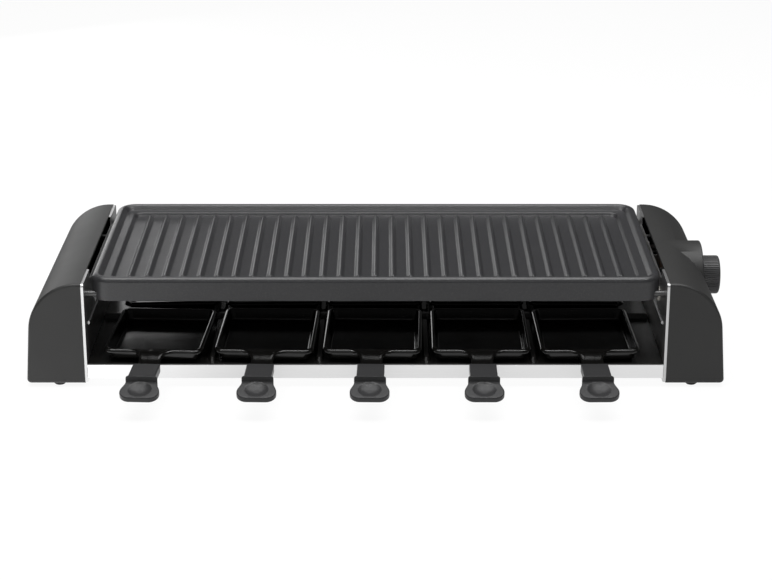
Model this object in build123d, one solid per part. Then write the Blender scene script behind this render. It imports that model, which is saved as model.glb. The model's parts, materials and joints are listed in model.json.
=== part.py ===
from build123d import *
import math
import os

# A table grill for ten people. A ribbed cast plate rests on four studs between two moulded
# side panels, a tube heater lies under it, and five small pans slide in from each long side.
# X runs along the grill, Y from the front to the back, Z up from the table.

# Sheet, feet and working values
SHEET = 0.8
FOOT_HEIGHT = 3.5
OVERRUN = 5.0
NEAR = 0.01

# Pans, which the grill is measured round
PAN_COUNT = 5
PAN_WIDTH = 90.0
PAN_DEPTH = 109.0
PAN_HEIGHT = 12.2
PAN_GAP = 6.0
PAN_END_GAP = 20.0
PAN_ROW_GAP = 13.0
PAN_SET_BACK = 2.0
PAN_LIFT = 0.3
PAN_RIM = 3.0
PAN_CORNER = 9.0
PAN_DRAFT = 12.0
NECK_WIDTH = 20.0
NECK_LENGTH = 28.0
NECK_FLARE = 12.0
NECK_DROP = 5.0
NECK_FLAT = 3.0
NECK_SLOPE_RUN = 15.0
TANG_WIDTH = 12.0
TANG_LENGTH = 26.0

# How the loose pans stand: the rows a little to the left, each pan moved and turned a little
PAN_ROW_SHIFT = 2.3
PAN_MOVE_SHARES = (-0.36, -0.02, 0.05, 0.22, 0.25)
PAN_TURN = 3.1
PAN_TURN_SHARES = (-1.0, -0.58, -0.4, -0.1, 0.32)

# Pan grips
SHAFT_WIDTH = 24.0
SHAFT_LENGTH = 29.0
SHAFT_THICKNESS = 8.0
SHAFT_CHAMFER = 1.2
COLLAR_WIDTH = 27.8
COLLAR_THICKNESS = 1.2
COLLAR_CORNER = 2.4
HEAD_LENGTH = 23.5
HEAD_WIDTH = 34.4
HEAD_THICKNESS = 6.6
HEAD_STEP = 3.6
HEAD_TILT = 15.0
HEAD_STRAIGHT = 3.0
HEAD_FLARE_LENGTH = 8.5
HEAD_CORNER = 9.0
HEAD_CHAMFER = 1.2
DIMPLE_RADIUS = 10.4
DIMPLE_DEPTH = 2.6
DIMPLE_OUT = 11.0
TANG_CLEARANCE = 0.1

# Side panels
PANEL_HEIGHT = 94.5
PANEL_TOP_WIDTH = 45.3
PANEL_BOTTOM_WIDTH = 52.5
PANEL_WALL = 2.5
SHOULDER_RADIUS = 42.0
PANEL_HEEL_RADIUS = 4.0
PANEL_EDGE_RADIUS = 2.6
POST_RADIUS = 4.0
POST_LOW_RISE = 12.0
POST_LOW_INSET = 29.5
POST_HIGH_DROP = 14.5
POST_HIGH_INSET = 57.5

# Round boss on the right panel, and the recess in its face for the knob
BOSS_RADIUS = 32.0
BOSS_DROP = 32.4
BOSS_SHORT = 1.8
BOSS_EDGE_RADIUS = 1.2
RECESS_GAP = 1.2

# Steel plates inside the panels
FLANGE = 2.4
INNER_PLATE_INSET = 0.4
INNER_PLATE_CORNER = 3.0
TOP_FLANGE_LENGTH = 41.0
TOP_NOTCH_DEPTH = 9.0
BEAD_DROP = 44.0
BEAD_RADIUS = 2.0
BEAD_END_GAP = 21.0
TAB_WIDTH = 12.0
TAB_LENGTH = 11.0
TAB_COUNT = 3
TAB_PITCH = 70.0

# Base channel and the tray on it
BASE_RAISE = 5.0
APRON_HEIGHT = 13.0
HEM_HEIGHT = 2.4
BASE_RETURN = 10.0
END_CLEARANCE = 0.2
TRAY_RIDGE_WIDTH = 8.0
TRAY_RIDGE_HEIGHT = 3.4
TRAY_RIDGE_GAP = 5.0
TRAY_RIDGE_SLOPE = 30.0
TRAY_STOP_WIDTH = 7.0
TRAY_STOP_HEIGHT = 5.0

# Ribbed grill plate
PLATE_SIDE_GAP = 7.0
PLATE_END_GAP = 6.5
PLATE_HEIGHT = 21.5
PLATE_PROUD = 3.1
PLATE_CORNER = 17.0
PLATE_EDGE_RADIUS = 3.0
PLATE_RIM = 6.5
RIM_SLOPE_RUN = 3.5
LEDGE_DEPTH = 4.6
LEDGE_WIDTH = 8.0
FIELD_STEP = 3.6
FIELD_STEP_RUN = 1.2
PLATE_WEB = 5.0
SKIRT_WALL = 4.0
RIB_PITCH = 15.7
RIB_SIDE_GAP = 12.0
RIB_WIDTH = 6.4
RIB_HEIGHT = 3.2
RIB_SLOPE = 24.0
RIB_END_GAP = 1.5

# Studs that carry the plate
STUD_RADIUS = 2.5
STUD_RISE = 4.8
STUD_INSET = 14.0
STUD_LENGTH = 14.0
STUD_HEAD_RADIUS = 4.2
STUD_HEAD_THICKNESS = 1.2
STUD_GAP = 0.3

# Tube heater and what holds it
HEATER_RADIUS = 3.25
HEATER_DROP = 9.6
HEATER_PITCH = 43.0
HEATER_END_GAP = 22.0
HEATER_THROUGH = 12.0
PIN_RADIUS = 1.25
PIN_LENGTH = 8.0
BUSH_WALL = 3.2
BUSH_CLEARANCE = 0.3
BUSH_LENGTH = 8.0
BUSH_INNER_REACH = 1.5
BUSH_COLLAR = 2.0
HOLE_CLEARANCE = 0.1
CLIP_WIDTH = 12.0
CLIP_LEG = 10.0
CLIP_LIP = 3.0
CLIP_GAP = 0.3
CLIP_PAST = 2.0

# Thermostat, its bracket and the knob
BRACKET_SHEET = 1.2
BRACKET_HALF_WIDTH = 20.0
BRACKET_FOOT = 7.0
BRACKET_REACH = 27.0
BRACKET_HEIGHT = 26.0
THERMOSTAT_LENGTH = 16.0
THERMOSTAT_WIDTH = 30.0
THERMOSTAT_HEIGHT = 22.0
THERMOSTAT_CORNER = 3.0
NOSE_RADIUS = 4.9
NOSE_LENGTH = 7.0
BLADE_WIDTH = 6.3
BLADE_LENGTH = 7.0
SPINDLE_RADIUS = 3.0
SPINDLE_FLAT = 2.2
SPINDLE_CLEARANCE = 0.05
SPINDLE_DEPTH = 5.0
SPINDLE_HOLE_GAP = 0.8
KNOB_RADIUS = 18.0
KNOB_LENGTH = 17.2
KNOB_GAP = 0.6
KNOB_SOCKET = 12.0
KNOB_HUB_RADIUS = 6.0
KNOB_SKIRT_WALL = 3.0
KNOB_HOLLOW = 12.0
KNOB_EDGE = 2.0
KNOB_DISH = 0.8
POINTER_WIDTH = 1.8
FLUTE_COUNT = 60
FLUTE_WIDTH = 0.8

# Other inner electrical pieces
LEAD_RADIUS = 1.1
LEAD_BEND = 6.0
LEAD_GAP = 0.1
BLOCK_LENGTH = 26.0
BLOCK_WIDTH = 12.0
BLOCK_HEIGHT = 9.0
BLOCK_INSET = 47.0
BLOCK_OUT = 24.0
BLOCK_POLES = 3
TOWER_RADIUS = 3.2
TOWER_HEIGHT = 5.0
TOWER_BORE = 1.6
FUSE_RADIUS = 2.6
FUSE_LENGTH = 18.0
FUSE_SEAT = 6.5
FUSE_BESIDE = 21.0
FUSE_RISE = 48.5
GLAND_BORE = 3.6
GLAND_WALL = 1.6
GLAND_COLLAR = 3.4
GLAND_COLLAR_THICKNESS = 2.0
GLAND_RISE = 26.0
GLAND_OUT = 24.0

# Feet and screws
FOOT_RADIUS = 5.5
FOOT_OUT = 24.0
FOOT_INSET = 9.5
FOOT_EDGE = 1.3
FOOT_STEM_RADIUS = 2.4
SCREW_RADIUS = 1.5
SCREW_HEAD_RADIUS = 2.9
SCREW_HEAD = 1.6
SCREW_LENGTH = 10.0
SCREW_CLEARANCE = 0.05

# Heights and faces that follow from the sizes above
PANEL_LOW = FOOT_HEIGHT
PANEL_TOP = PANEL_LOW + PANEL_HEIGHT
PAN_PITCH = PAN_WIDTH + PAN_GAP
INNER_WIDTH = PAN_COUNT * PAN_PITCH + 2 * PAN_END_GAP
BODY_DEPTH = 2 * (PAN_DEPTH + PAN_SET_BACK) + PAN_ROW_GAP
INNER_EDGE = INNER_WIDTH / 2
INNER_FACE = INNER_EDGE - FLANGE
BACK_FACE = INNER_FACE + SHEET
HALF_DEPTH = BODY_DEPTH / 2
BASE_LOW = PANEL_LOW + BASE_RAISE
BASE_TOP = BASE_LOW + APRON_HEIGHT
TRAY_TOP = BASE_TOP + SHEET
PAN_LOW = TRAY_TOP + PAN_LIFT
PAN_CENTRE_Y = HALF_DEPTH - PAN_SET_BACK - PAN_DEPTH / 2
PLATE_LENGTH = INNER_WIDTH - 2 * PLATE_SIDE_GAP
PLATE_DEPTH = BODY_DEPTH - 2 * PLATE_END_GAP
PLATE_TOP = PANEL_TOP + PLATE_PROUD
PLATE_LOW = PLATE_TOP - PLATE_HEIGHT
STUD_Z = PLATE_LOW + STUD_RISE
STUD_Y = HALF_DEPTH - STUD_INSET
HEATER_Z = PLATE_LOW - HEATER_DROP
HEATER_Y = 1.5 * HEATER_PITCH
HEATER_END = INNER_EDGE + HEATER_THROUGH
FUSE_Y = HEATER_Y - FUSE_BESIDE
FUSE_Z = PANEL_LOW + FUSE_RISE
BOSS_Z = PANEL_TOP - BOSS_DROP
BOSS_FACE = INNER_EDGE + PANEL_TOP_WIDTH - BOSS_SHORT
KNOB_BACK = BOSS_FACE + KNOB_GAP
KNOB_FRONT = KNOB_BACK + KNOB_LENGTH
PANEL_DRAFT = math.atan2(PANEL_BOTTOM_WIDTH - PANEL_TOP_WIDTH, PANEL_HEIGHT)
HEEL_LOSS = PANEL_HEEL_RADIUS * (math.tan(PANEL_DRAFT) + 1 / math.cos(PANEL_DRAFT) - 1)
PANEL_REACH = INNER_EDGE + PANEL_BOTTOM_WIDTH - HEEL_LOSS
CENTRE_SHIFT = (PANEL_REACH - KNOB_FRONT) / 2


def rod_x(radius, start, end, y, z):
    """A round rod along X."""
    return Pos(start, y, z) * Rot(0, 90, 0) * Cylinder(
        radius, end - start, align=(Align.CENTER, Align.CENTER, Align.MIN)
    )


def rod_y(radius, x, start, end, z):
    """A round rod along Y."""
    return Pos(x, start, z) * Rot(-90, 0, 0) * Cylinder(
        radius, end - start, align=(Align.CENTER, Align.CENTER, Align.MIN)
    )


def rod_z(radius, x, y, low, high):
    """A round rod along Z."""
    return Pos(x, y, low) * Cylinder(
        radius, high - low, align=(Align.CENTER, Align.CENTER, Align.MIN)
    )


def block(x_low, x_high, y_low, y_high, z_low, z_high):
    """A block between two opposite corners."""
    size = Box(x_high - x_low, y_high - y_low, z_high - z_low)
    return Pos((x_low + x_high) / 2, (y_low + y_high) / 2, (z_low + z_high) / 2) * size


def left_of(shape):
    """The same piece on the left side."""
    return mirror(shape, about=Plane.YZ)


# Side panels

def panel_section(inset, start):
    """The panel's section seen from the front: flat top, round shoulder, side with draft."""
    step = inset / math.cos(PANEL_DRAFT)
    lean = inset * math.tan(PANEL_DRAFT)
    high = PANEL_TOP - inset
    low = PANEL_LOW + inset
    high_x = INNER_EDGE + PANEL_TOP_WIDTH + lean - step
    low_x = INNER_EDGE + PANEL_BOTTOM_WIDTH - lean - step
    section = Polygon((start, low), (low_x, low), (high_x, high), (start, high))
    heel = section.vertices().sort_by_distance((low_x, low, 0))[0]
    section = fillet(heel, PANEL_HEEL_RADIUS - inset)
    shoulder = section.vertices().sort_by_distance((high_x, high, 0))[0]
    return Plane.XZ * fillet(shoulder, SHOULDER_RADIUS - inset)


def panel_blank():
    """The panel's outside as one solid, its front and back outlines rounded over."""
    blank = extrude(panel_section(0, INNER_EDGE), BODY_DEPTH / 2, both=True)
    outline = blank.edges().filter_by(
        lambda edge: abs(abs(edge.center().Y) - BODY_DEPTH / 2) < NEAR
        and edge.center().X > INNER_EDGE + NEAR
    )
    return fillet(outline, PANEL_EDGE_RADIUS)


def post_places():
    """Where the four screw posts stand, as Y and Z."""
    low_y = HALF_DEPTH - POST_LOW_INSET
    high_y = HALF_DEPTH - POST_HIGH_INSET
    low_z = PANEL_LOW + POST_LOW_RISE
    high_z = PANEL_TOP - POST_HIGH_DROP
    return [(-low_y, low_z), (low_y, low_z), (-high_y, high_z), (high_y, high_z)]


def knob_recess():
    """The round recess that the knob stands in, as its cup and its hollow."""
    radius = KNOB_RADIUS + RECESS_GAP
    cup = rod_x(radius + PANEL_WALL, BOSS_FACE - PANEL_WALL, PANEL_REACH, 0, BOSS_Z)
    return cup, rod_x(radius, BOSS_FACE, PANEL_REACH + OVERRUN, 0, BOSS_Z)


def side_panel(with_boss):
    """Right-hand moulded panel: a shell open on its inner side, with posts for its screws."""
    blank = panel_blank()
    shell = blank
    if with_boss:
        boss = rod_x(BOSS_RADIUS, INNER_EDGE, BOSS_FACE, 0, BOSS_Z)
        end = boss.edges().filter_by(lambda edge: abs(edge.center().X - BOSS_FACE) < NEAR)
        shell = shell + fillet(end, BOSS_EDGE_RADIUS)
    shell -= extrude(
        panel_section(PANEL_WALL, INNER_EDGE - OVERRUN), BODY_DEPTH / 2 - PANEL_WALL, both=True
    )
    if with_boss:
        inside = BOSS_RADIUS - PANEL_WALL
        shell -= rod_x(inside, INNER_EDGE - OVERRUN, BOSS_FACE - PANEL_WALL, 0, BOSS_Z)
        cup, hollow = knob_recess()
        shell += cup & blank
        shell -= hollow
        hole = SPINDLE_RADIUS + SPINDLE_HOLE_GAP
        shell -= rod_x(hole, INNER_EDGE, BOSS_FACE + OVERRUN, 0, BOSS_Z)
        gland_z = PANEL_LOW + GLAND_RISE
        gland_hole = GLAND_BORE + GLAND_WALL + HOLE_CLEARANCE
        gland_x = INNER_EDGE + GLAND_OUT
        shell -= rod_y(gland_hole, gland_x, HALF_DEPTH - OVERRUN, HALF_DEPTH + OVERRUN, gland_z)
    for y, z in post_places():
        shell += rod_x(POST_RADIUS, INNER_EDGE, PANEL_REACH, y, z) & blank
        pilot = SCREW_RADIUS + SCREW_CLEARANCE
        shell -= rod_x(pilot, INNER_EDGE - OVERRUN, INNER_FACE + SCREW_LENGTH + SHEET, y, z)
    for y in (-HALF_DEPTH + FOOT_INSET, HALF_DEPTH - FOOT_INSET):
        stem_hole = FOOT_STEM_RADIUS + SCREW_CLEARANCE
        shell -= rod_z(
            stem_hole, INNER_EDGE + FOOT_OUT, y, PANEL_LOW - OVERRUN, PANEL_LOW + PANEL_WALL
        )
    return shell


def foot(side, y):
    """A rubber nub with a stem pushed through the panel's floor."""
    x = side * (INNER_EDGE + FOOT_OUT)
    nub = rod_z(FOOT_RADIUS, x, y, 0, PANEL_LOW)
    sole = nub.edges().filter_by(lambda edge: abs(edge.center().Z) < NEAR)
    nub = chamfer(sole, FOOT_EDGE)
    return nub + rod_z(FOOT_STEM_RADIUS, x, y, PANEL_LOW, PANEL_LOW + PANEL_WALL)


# Steel plates that line the panels

def plate_outline(inset):
    """Outline of the lining plate, seen from the side."""
    low = PANEL_LOW + INNER_PLATE_INSET
    high = PANEL_TOP - INNER_PLATE_INSET
    width = BODY_DEPTH - 2 * INNER_PLATE_INSET
    outline = RectangleRounded(
        width - 2 * inset, high - low - 2 * inset, INNER_PLATE_CORNER - inset
    )
    return Plane.YZ * Pos(0, (low + high) / 2) * outline


def tab_places():
    """Y of each tab that carries the base."""
    first = -TAB_PITCH * (TAB_COUNT - 1) / 2
    return [first + TAB_PITCH * index for index in range(TAB_COUNT)]


def pressed_bead():
    """A half-round stiffening bead along the lining plate, as a solid and its hollow."""
    z = PANEL_TOP - BEAD_DROP
    reach = HALF_DEPTH - BEAD_END_GAP
    bead = rod_y(BEAD_RADIUS, BACK_FACE, -reach, reach, z)
    bead -= block(
        BACK_FACE, BACK_FACE + BEAD_RADIUS, -reach, reach, z - BEAD_RADIUS, z + BEAD_RADIUS
    )
    return bead, rod_y(BEAD_RADIUS - SHEET, BACK_FACE, SHEET - reach, reach - SHEET, z)


def inner_plate(with_heater_holes):
    """Right-hand lining plate: a shallow steel tray with its flange turned to the panel."""
    plate = Pos(INNER_FACE, 0, 0) * extrude(plate_outline(0), FLANGE)
    plate -= Pos(BACK_FACE, 0, 0) * extrude(plate_outline(SHEET), FLANGE)
    bead, bead_hollow = pressed_bead()
    plate = plate + bead - bead_hollow
    notch = HALF_DEPTH - TOP_FLANGE_LENGTH
    plate -= block(
        INNER_FACE - OVERRUN, INNER_EDGE + OVERRUN, -notch, notch,
        PANEL_TOP - TOP_NOTCH_DEPTH, PANEL_TOP + OVERRUN
    )
    for y in tab_places():
        plate -= block(
            INNER_FACE - OVERRUN, INNER_EDGE + OVERRUN, y - TAB_WIDTH / 2, y + TAB_WIDTH / 2,
            BASE_LOW, BASE_LOW + TAB_LENGTH
        )
        tab = block(
            INNER_FACE - TAB_LENGTH, BACK_FACE, y - TAB_WIDTH / 2, y + TAB_WIDTH / 2,
            BASE_LOW - SHEET, BASE_LOW
        )
        hole = SCREW_RADIUS + HOLE_CLEARANCE
        screw_x = INNER_FACE - TAB_LENGTH / 2
        plate += tab - rod_z(hole, screw_x, y, BASE_LOW - OVERRUN, BASE_LOW + OVERRUN)
    for y, z in post_places():
        hole = SCREW_RADIUS + HOLE_CLEARANCE
        plate -= rod_x(hole, INNER_FACE - OVERRUN, INNER_EDGE, y, z)
    for y in (-STUD_Y, STUD_Y):
        plate -= rod_x(STUD_RADIUS, INNER_FACE - OVERRUN, INNER_EDGE, y, STUD_Z)
    if with_heater_holes:
        for y in (-HEATER_Y, HEATER_Y):
            hole = HEATER_RADIUS + BUSH_WALL + HOLE_CLEARANCE
            plate -= rod_x(hole, INNER_FACE - OVERRUN, INNER_EDGE, y, HEATER_Z)
    return plate


def rest_stud(side, y):
    """A headed steel stud, riveted through the lining plate, that carries the grill plate."""
    stud = rod_x(STUD_RADIUS, BACK_FACE - STUD_LENGTH, BACK_FACE, y, STUD_Z)
    stud += rod_x(STUD_HEAD_RADIUS, BACK_FACE, BACK_FACE + STUD_HEAD_THICKNESS, y, STUD_Z)
    return stud if side > 0 else left_of(stud)


# Base and tray

def base_plate():
    """Steel channel between the panels: floor, two aprons, their returns and outer hems."""
    half_length = INNER_FACE - END_CLEARANCE
    apron_face = HALF_DEPTH - SHEET
    section = Pos(0, (BASE_LOW + BASE_TOP) / 2) * Rectangle(2 * apron_face, APRON_HEIGHT)
    hollow = Rectangle(2 * (apron_face - SHEET), APRON_HEIGHT - 2 * SHEET)
    section -= Pos(0, (BASE_LOW + BASE_TOP) / 2) * hollow
    mouth = Rectangle(2 * (apron_face - BASE_RETURN), 2 * SHEET)
    section -= Pos(0, BASE_TOP) * mouth
    for side in (-1, 1):
        hem = Rectangle(SHEET, HEM_HEIGHT)
        section += Pos(side * (apron_face + SHEET / 2), BASE_TOP - HEM_HEIGHT / 2) * hem
    channel = extrude(Plane.YZ * section, half_length, both=True)
    hole = SCREW_RADIUS + HOLE_CLEARANCE
    for side in (-1, 1):
        for y in tab_places():
            screw_x = side * (INNER_FACE - TAB_LENGTH / 2)
            channel -= rod_z(hole, screw_x, y, BASE_LOW - OVERRUN, BASE_LOW + SHEET + NEAR)
    return channel


def ridge_places():
    """Centres of the ridges between neighbouring pans, in both rows."""
    first = -PAN_PITCH * (PAN_COUNT - 2) / 2 - PAN_ROW_SHIFT
    places = []
    for row in (-1, 1):
        for index in range(PAN_COUNT - 1):
            places.append((first + PAN_PITCH * index, row * PAN_CENTRE_Y))
    return places


def pressed_ridge(length, width, height):
    """A ridge with sloping sides and ends, standing on the XY plane, along Y."""
    return extrude(Rot(0, 0, 90) * SlotOverall(length, width), height, taper=TRAY_RIDGE_SLOPE)


def pan_tray():
    """Enamelled tray under the pans, with a pressed ridge between each two and one along."""
    half_length = INNER_FACE - END_CLEARANCE
    half_depth = HALF_DEPTH - SHEET
    tray = block(-half_length, half_length, -half_depth, half_depth, BASE_TOP, TRAY_TOP)
    length = PAN_DEPTH - 2 * TRAY_RIDGE_GAP
    thin = 2 * SHEET
    for x, y in ridge_places():
        tray += Pos(x, y, TRAY_TOP) * pressed_ridge(length, TRAY_RIDGE_WIDTH, TRAY_RIDGE_HEIGHT)
        tray -= Pos(x, y, BASE_TOP) * pressed_ridge(
            length - thin, TRAY_RIDGE_WIDTH - thin, TRAY_RIDGE_HEIGHT
        )
    stop = Rectangle(2 * half_length, TRAY_STOP_WIDTH)
    tray += Pos(0, 0, TRAY_TOP) * extrude(stop, TRAY_STOP_HEIGHT, taper=TRAY_RIDGE_SLOPE / 2)
    hollow = Rectangle(2 * half_length - thin, TRAY_STOP_WIDTH - thin)
    tray -= Pos(0, 0, BASE_TOP) * extrude(hollow, TRAY_STOP_HEIGHT, taper=TRAY_RIDGE_SLOPE / 2)
    return tray


# Pans and grips, drawn with the dish centred on the origin and the grip towards -Y

def tapered_dish(inset, low):
    """The dish as a solid that widens upwards; inset steps its wall in."""
    slope = math.tan(math.radians(PAN_DRAFT))
    mouth = 2 * PAN_RIM
    shrink = 2 * (PAN_HEIGHT - low) * slope + 2 * inset / math.cos(math.radians(PAN_DRAFT))
    corner = PAN_CORNER - PAN_RIM - (PAN_HEIGHT - low) * slope
    floor = RectangleRounded(PAN_WIDTH - mouth - shrink, PAN_DEPTH - mouth - shrink, corner)
    return Pos(0, 0, low) * extrude(floor, PAN_HEIGHT - low, taper=-PAN_DRAFT)


def pan_plan():
    """Outline of the rim and the neck from above, flowing into each other."""
    rim = RectangleRounded(PAN_WIDTH, PAN_DEPTH, PAN_CORNER)
    front = -PAN_DEPTH / 2
    reach = NECK_LENGTH + PAN_CORNER
    neck = Pos(0, front - NECK_LENGTH + reach / 2) * Rectangle(NECK_WIDTH, reach)
    plan = rim + neck
    corners = plan.vertices().filter_by(
        lambda point: abs(point.Y - front) < NEAR and abs(abs(point.X) - NECK_WIDTH / 2) < NEAR
    )
    plan = fillet(corners, NECK_FLARE)
    tang_length = TANG_LENGTH + NECK_FLAT
    tang_y = front - NECK_LENGTH - TANG_LENGTH + tang_length / 2
    return plan + Pos(0, tang_y) * Rectangle(TANG_WIDTH, tang_length)


def neck_ribbon():
    """Rim, neck and tang as one bent sheet seen from the side, as wide as the pan."""
    back = PAN_DEPTH / 2
    bend = -PAN_DEPTH / 2 - NECK_FLAT
    foot_y = bend - NECK_SLOPE_RUN
    tip = -PAN_DEPTH / 2 - NECK_LENGTH - TANG_LENGTH
    high = PAN_HEIGHT
    low = PAN_HEIGHT - NECK_DROP
    section = Polygon(
        (back, high), (bend, high), (foot_y, low), (tip, low),
        (tip, low - SHEET), (foot_y, low - SHEET), (bend, high - SHEET), (back, high - SHEET)
    )
    return extrude(Plane.YZ * section, PAN_WIDTH / 2, both=True)


def pan_shape():
    """A pressed steel pan: tapered dish, flat rim, and a neck that drops to the grip."""
    sheet = extrude(pan_plan(), 2 * PAN_HEIGHT) & neck_ribbon()
    pan = sheet + tapered_dish(0, 0)
    return pan - tapered_dish(SHEET, SHEET) - Pos(0, 0, PAN_HEIGHT) * Box(
        PAN_WIDTH - 2 * PAN_RIM - 4 * SHEET, PAN_DEPTH - 2 * PAN_RIM - 4 * SHEET, SHEET
    )


def head_plan():
    """Outline of the thumb pad, drawn from its step outwards: it widens, then closes round."""
    collar = COLLAR_WIDTH / 2
    half = HEAD_WIDTH / 2
    wide = -HEAD_STRAIGHT - HEAD_FLARE_LENGTH
    plan = Polygon(
        (-collar, 0), (-collar, -HEAD_STRAIGHT), (-half, wide), (-half, -HEAD_LENGTH),
        (half, -HEAD_LENGTH), (half, wide), (collar, -HEAD_STRAIGHT), (collar, 0)
    )
    tip_corners = plan.vertices().filter_by(lambda point: abs(point.Y + HEAD_LENGTH) < NEAR)
    plan = fillet(tip_corners, HEAD_CORNER)
    bends = plan.vertices().filter_by(
        lambda point: min(abs(point.Y + HEAD_STRAIGHT), abs(point.Y - wide)) < NEAR
    )
    return fillet(bends, HEAD_CORNER)


def thumb_pad():
    """The pad, level, with its top at zero: a broken rim and a round hollow for the thumb."""
    pad = extrude(head_plan(), -HEAD_THICKNESS)
    rim = pad.edges().filter_by(
        lambda edge: abs(edge.center().Z) < NEAR and edge.center().Y < -NEAR
    )
    pad = chamfer(rim, HEAD_CHAMFER)
    ball = (DIMPLE_RADIUS ** 2 + DIMPLE_DEPTH ** 2) / (2 * DIMPLE_DEPTH)
    return pad - Pos(0, -DIMPLE_OUT, ball - DIMPLE_DEPTH) * Sphere(ball)


def grip_shape():
    """A moulded grip: a sleeve over the tang, a collar, and a thumb pad that slopes down."""
    middle = PAN_HEIGHT - NECK_DROP - SHEET / 2
    low = middle - SHAFT_THICKNESS / 2
    high = low + SHAFT_THICKNESS
    start = -PAN_DEPTH / 2 - NECK_LENGTH
    end = start - SHAFT_LENGTH
    shaft = block(-SHAFT_WIDTH / 2, SHAFT_WIDTH / 2, end, start, low, high)
    shaft = chamfer(shaft.edges().filter_by(Axis.Y), SHAFT_CHAMFER)
    outline = RectangleRounded(COLLAR_WIDTH, SHAFT_THICKNESS, COLLAR_CORNER)
    collar = extrude(Plane.XZ * Pos(0, middle) * outline, COLLAR_THICKNESS / 2, both=True)
    grip = shaft + Pos(0, end, 0) * collar
    grip += Pos(0, end, high - HEAD_STEP) * Rot(HEAD_TILT, 0, 0) * thumb_pad()
    slot_half = TANG_WIDTH / 2 + TANG_CLEARANCE
    slot_end = start - TANG_LENGTH - TANG_CLEARANCE
    thick = SHEET / 2 + TANG_CLEARANCE
    slot = block(-slot_half, slot_half, slot_end, start + OVERRUN, middle - thick, middle + thick)
    return grip - slot


def pan_places():
    """Name ending and place of each pan; the rear row mirrors the front row."""
    first = -PAN_PITCH * (PAN_COUNT - 1) / 2 - PAN_ROW_SHIFT
    places = []
    for index in range(PAN_COUNT):
        x = first + PAN_PITCH * index + PAN_GAP * PAN_MOVE_SHARES[index]
        turn = PAN_TURN * PAN_TURN_SHARES[index]
        front = Pos(x, -PAN_CENTRE_Y, PAN_LOW) * Rot(0, 0, turn)
        rear = Pos(x, PAN_CENTRE_Y, PAN_LOW) * Rot(0, 0, 180 - turn)
        places.append((f"front_{index + 1}", front))
        places.append((f"rear_{index + 1}", rear))
    return places


# Grill plate

def pocket(length, depth, corner, top, bottom, run):
    """A tapered pocket: its walls come in by run between its mouth and its floor."""
    mouth = Pos(0, 0, top) * RectangleRounded(length, depth, corner)
    floor = Pos(0, 0, bottom) * RectangleRounded(
        length - 2 * run, depth - 2 * run, corner - run
    )
    return loft([mouth, floor])


def rib_places(field_length):
    """X of each rib: as many as the field takes, evenly about its middle."""
    gaps = int((field_length - 2 * RIB_SIDE_GAP) / RIB_PITCH)
    return [RIB_PITCH * (index - gaps / 2) for index in range(gaps + 1)]


def grill_plate():
    """Cast plate: rounded rim, a ledge, a lower ribbed field, and a skirt open below."""
    outline = RectangleRounded(PLATE_LENGTH, PLATE_DEPTH, PLATE_CORNER)
    plate = Pos(0, 0, PLATE_LOW) * extrude(outline, PLATE_HEIGHT)
    top_edge = plate.edges().filter_by(lambda edge: abs(edge.center().Z - PLATE_TOP) < NEAR)
    plate = fillet(top_edge, PLATE_EDGE_RADIUS)
    ledge_z = PLATE_TOP - LEDGE_DEPTH
    field_z = ledge_z - FIELD_STEP
    rim = PLATE_RIM
    plate -= pocket(
        PLATE_LENGTH - 2 * rim, PLATE_DEPTH - 2 * rim, PLATE_CORNER - rim,
        PLATE_TOP, ledge_z, RIM_SLOPE_RUN
    )
    inset = PLATE_RIM + RIM_SLOPE_RUN + LEDGE_WIDTH
    field_length = PLATE_LENGTH - 2 * inset
    field_depth = PLATE_DEPTH - 2 * inset
    field_corner = PLATE_CORNER - PLATE_RIM - RIM_SLOPE_RUN
    plate -= pocket(field_length, field_depth, field_corner, ledge_z, field_z, FIELD_STEP_RUN)
    under = RectangleRounded(
        PLATE_LENGTH - 2 * SKIRT_WALL, PLATE_DEPTH - 2 * SKIRT_WALL, PLATE_CORNER - SKIRT_WALL
    )
    plate -= Pos(0, 0, PLATE_LOW) * extrude(under, field_z - PLATE_WEB - PLATE_LOW)
    rib_length = field_depth - 2 * (FIELD_STEP_RUN + RIB_END_GAP)
    rib = extrude(Rot(0, 0, 90) * SlotOverall(rib_length, RIB_WIDTH), RIB_HEIGHT, taper=RIB_SLOPE)
    plate += [Pos(x, 0, field_z) * rib for x in rib_places(field_length)]
    for side in (-1, 1):
        for y in (-STUD_Y, STUD_Y):
            plate -= stud_notch(side, y)
    return plate


def stud_notch(side, y):
    """The slot in the skirt, open below, that drops over a stud."""
    radius = STUD_RADIUS + STUD_GAP
    inner = BACK_FACE - STUD_LENGTH - SKIRT_WALL
    outer = PLATE_LENGTH / 2 + OVERRUN
    notch = rod_x(radius, inner, outer, y, STUD_Z)
    notch += block(inner, outer, y - radius, y + radius, PLATE_LOW - OVERRUN, STUD_Z)
    return notch if side > 0 else left_of(notch)


# Heater

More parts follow.
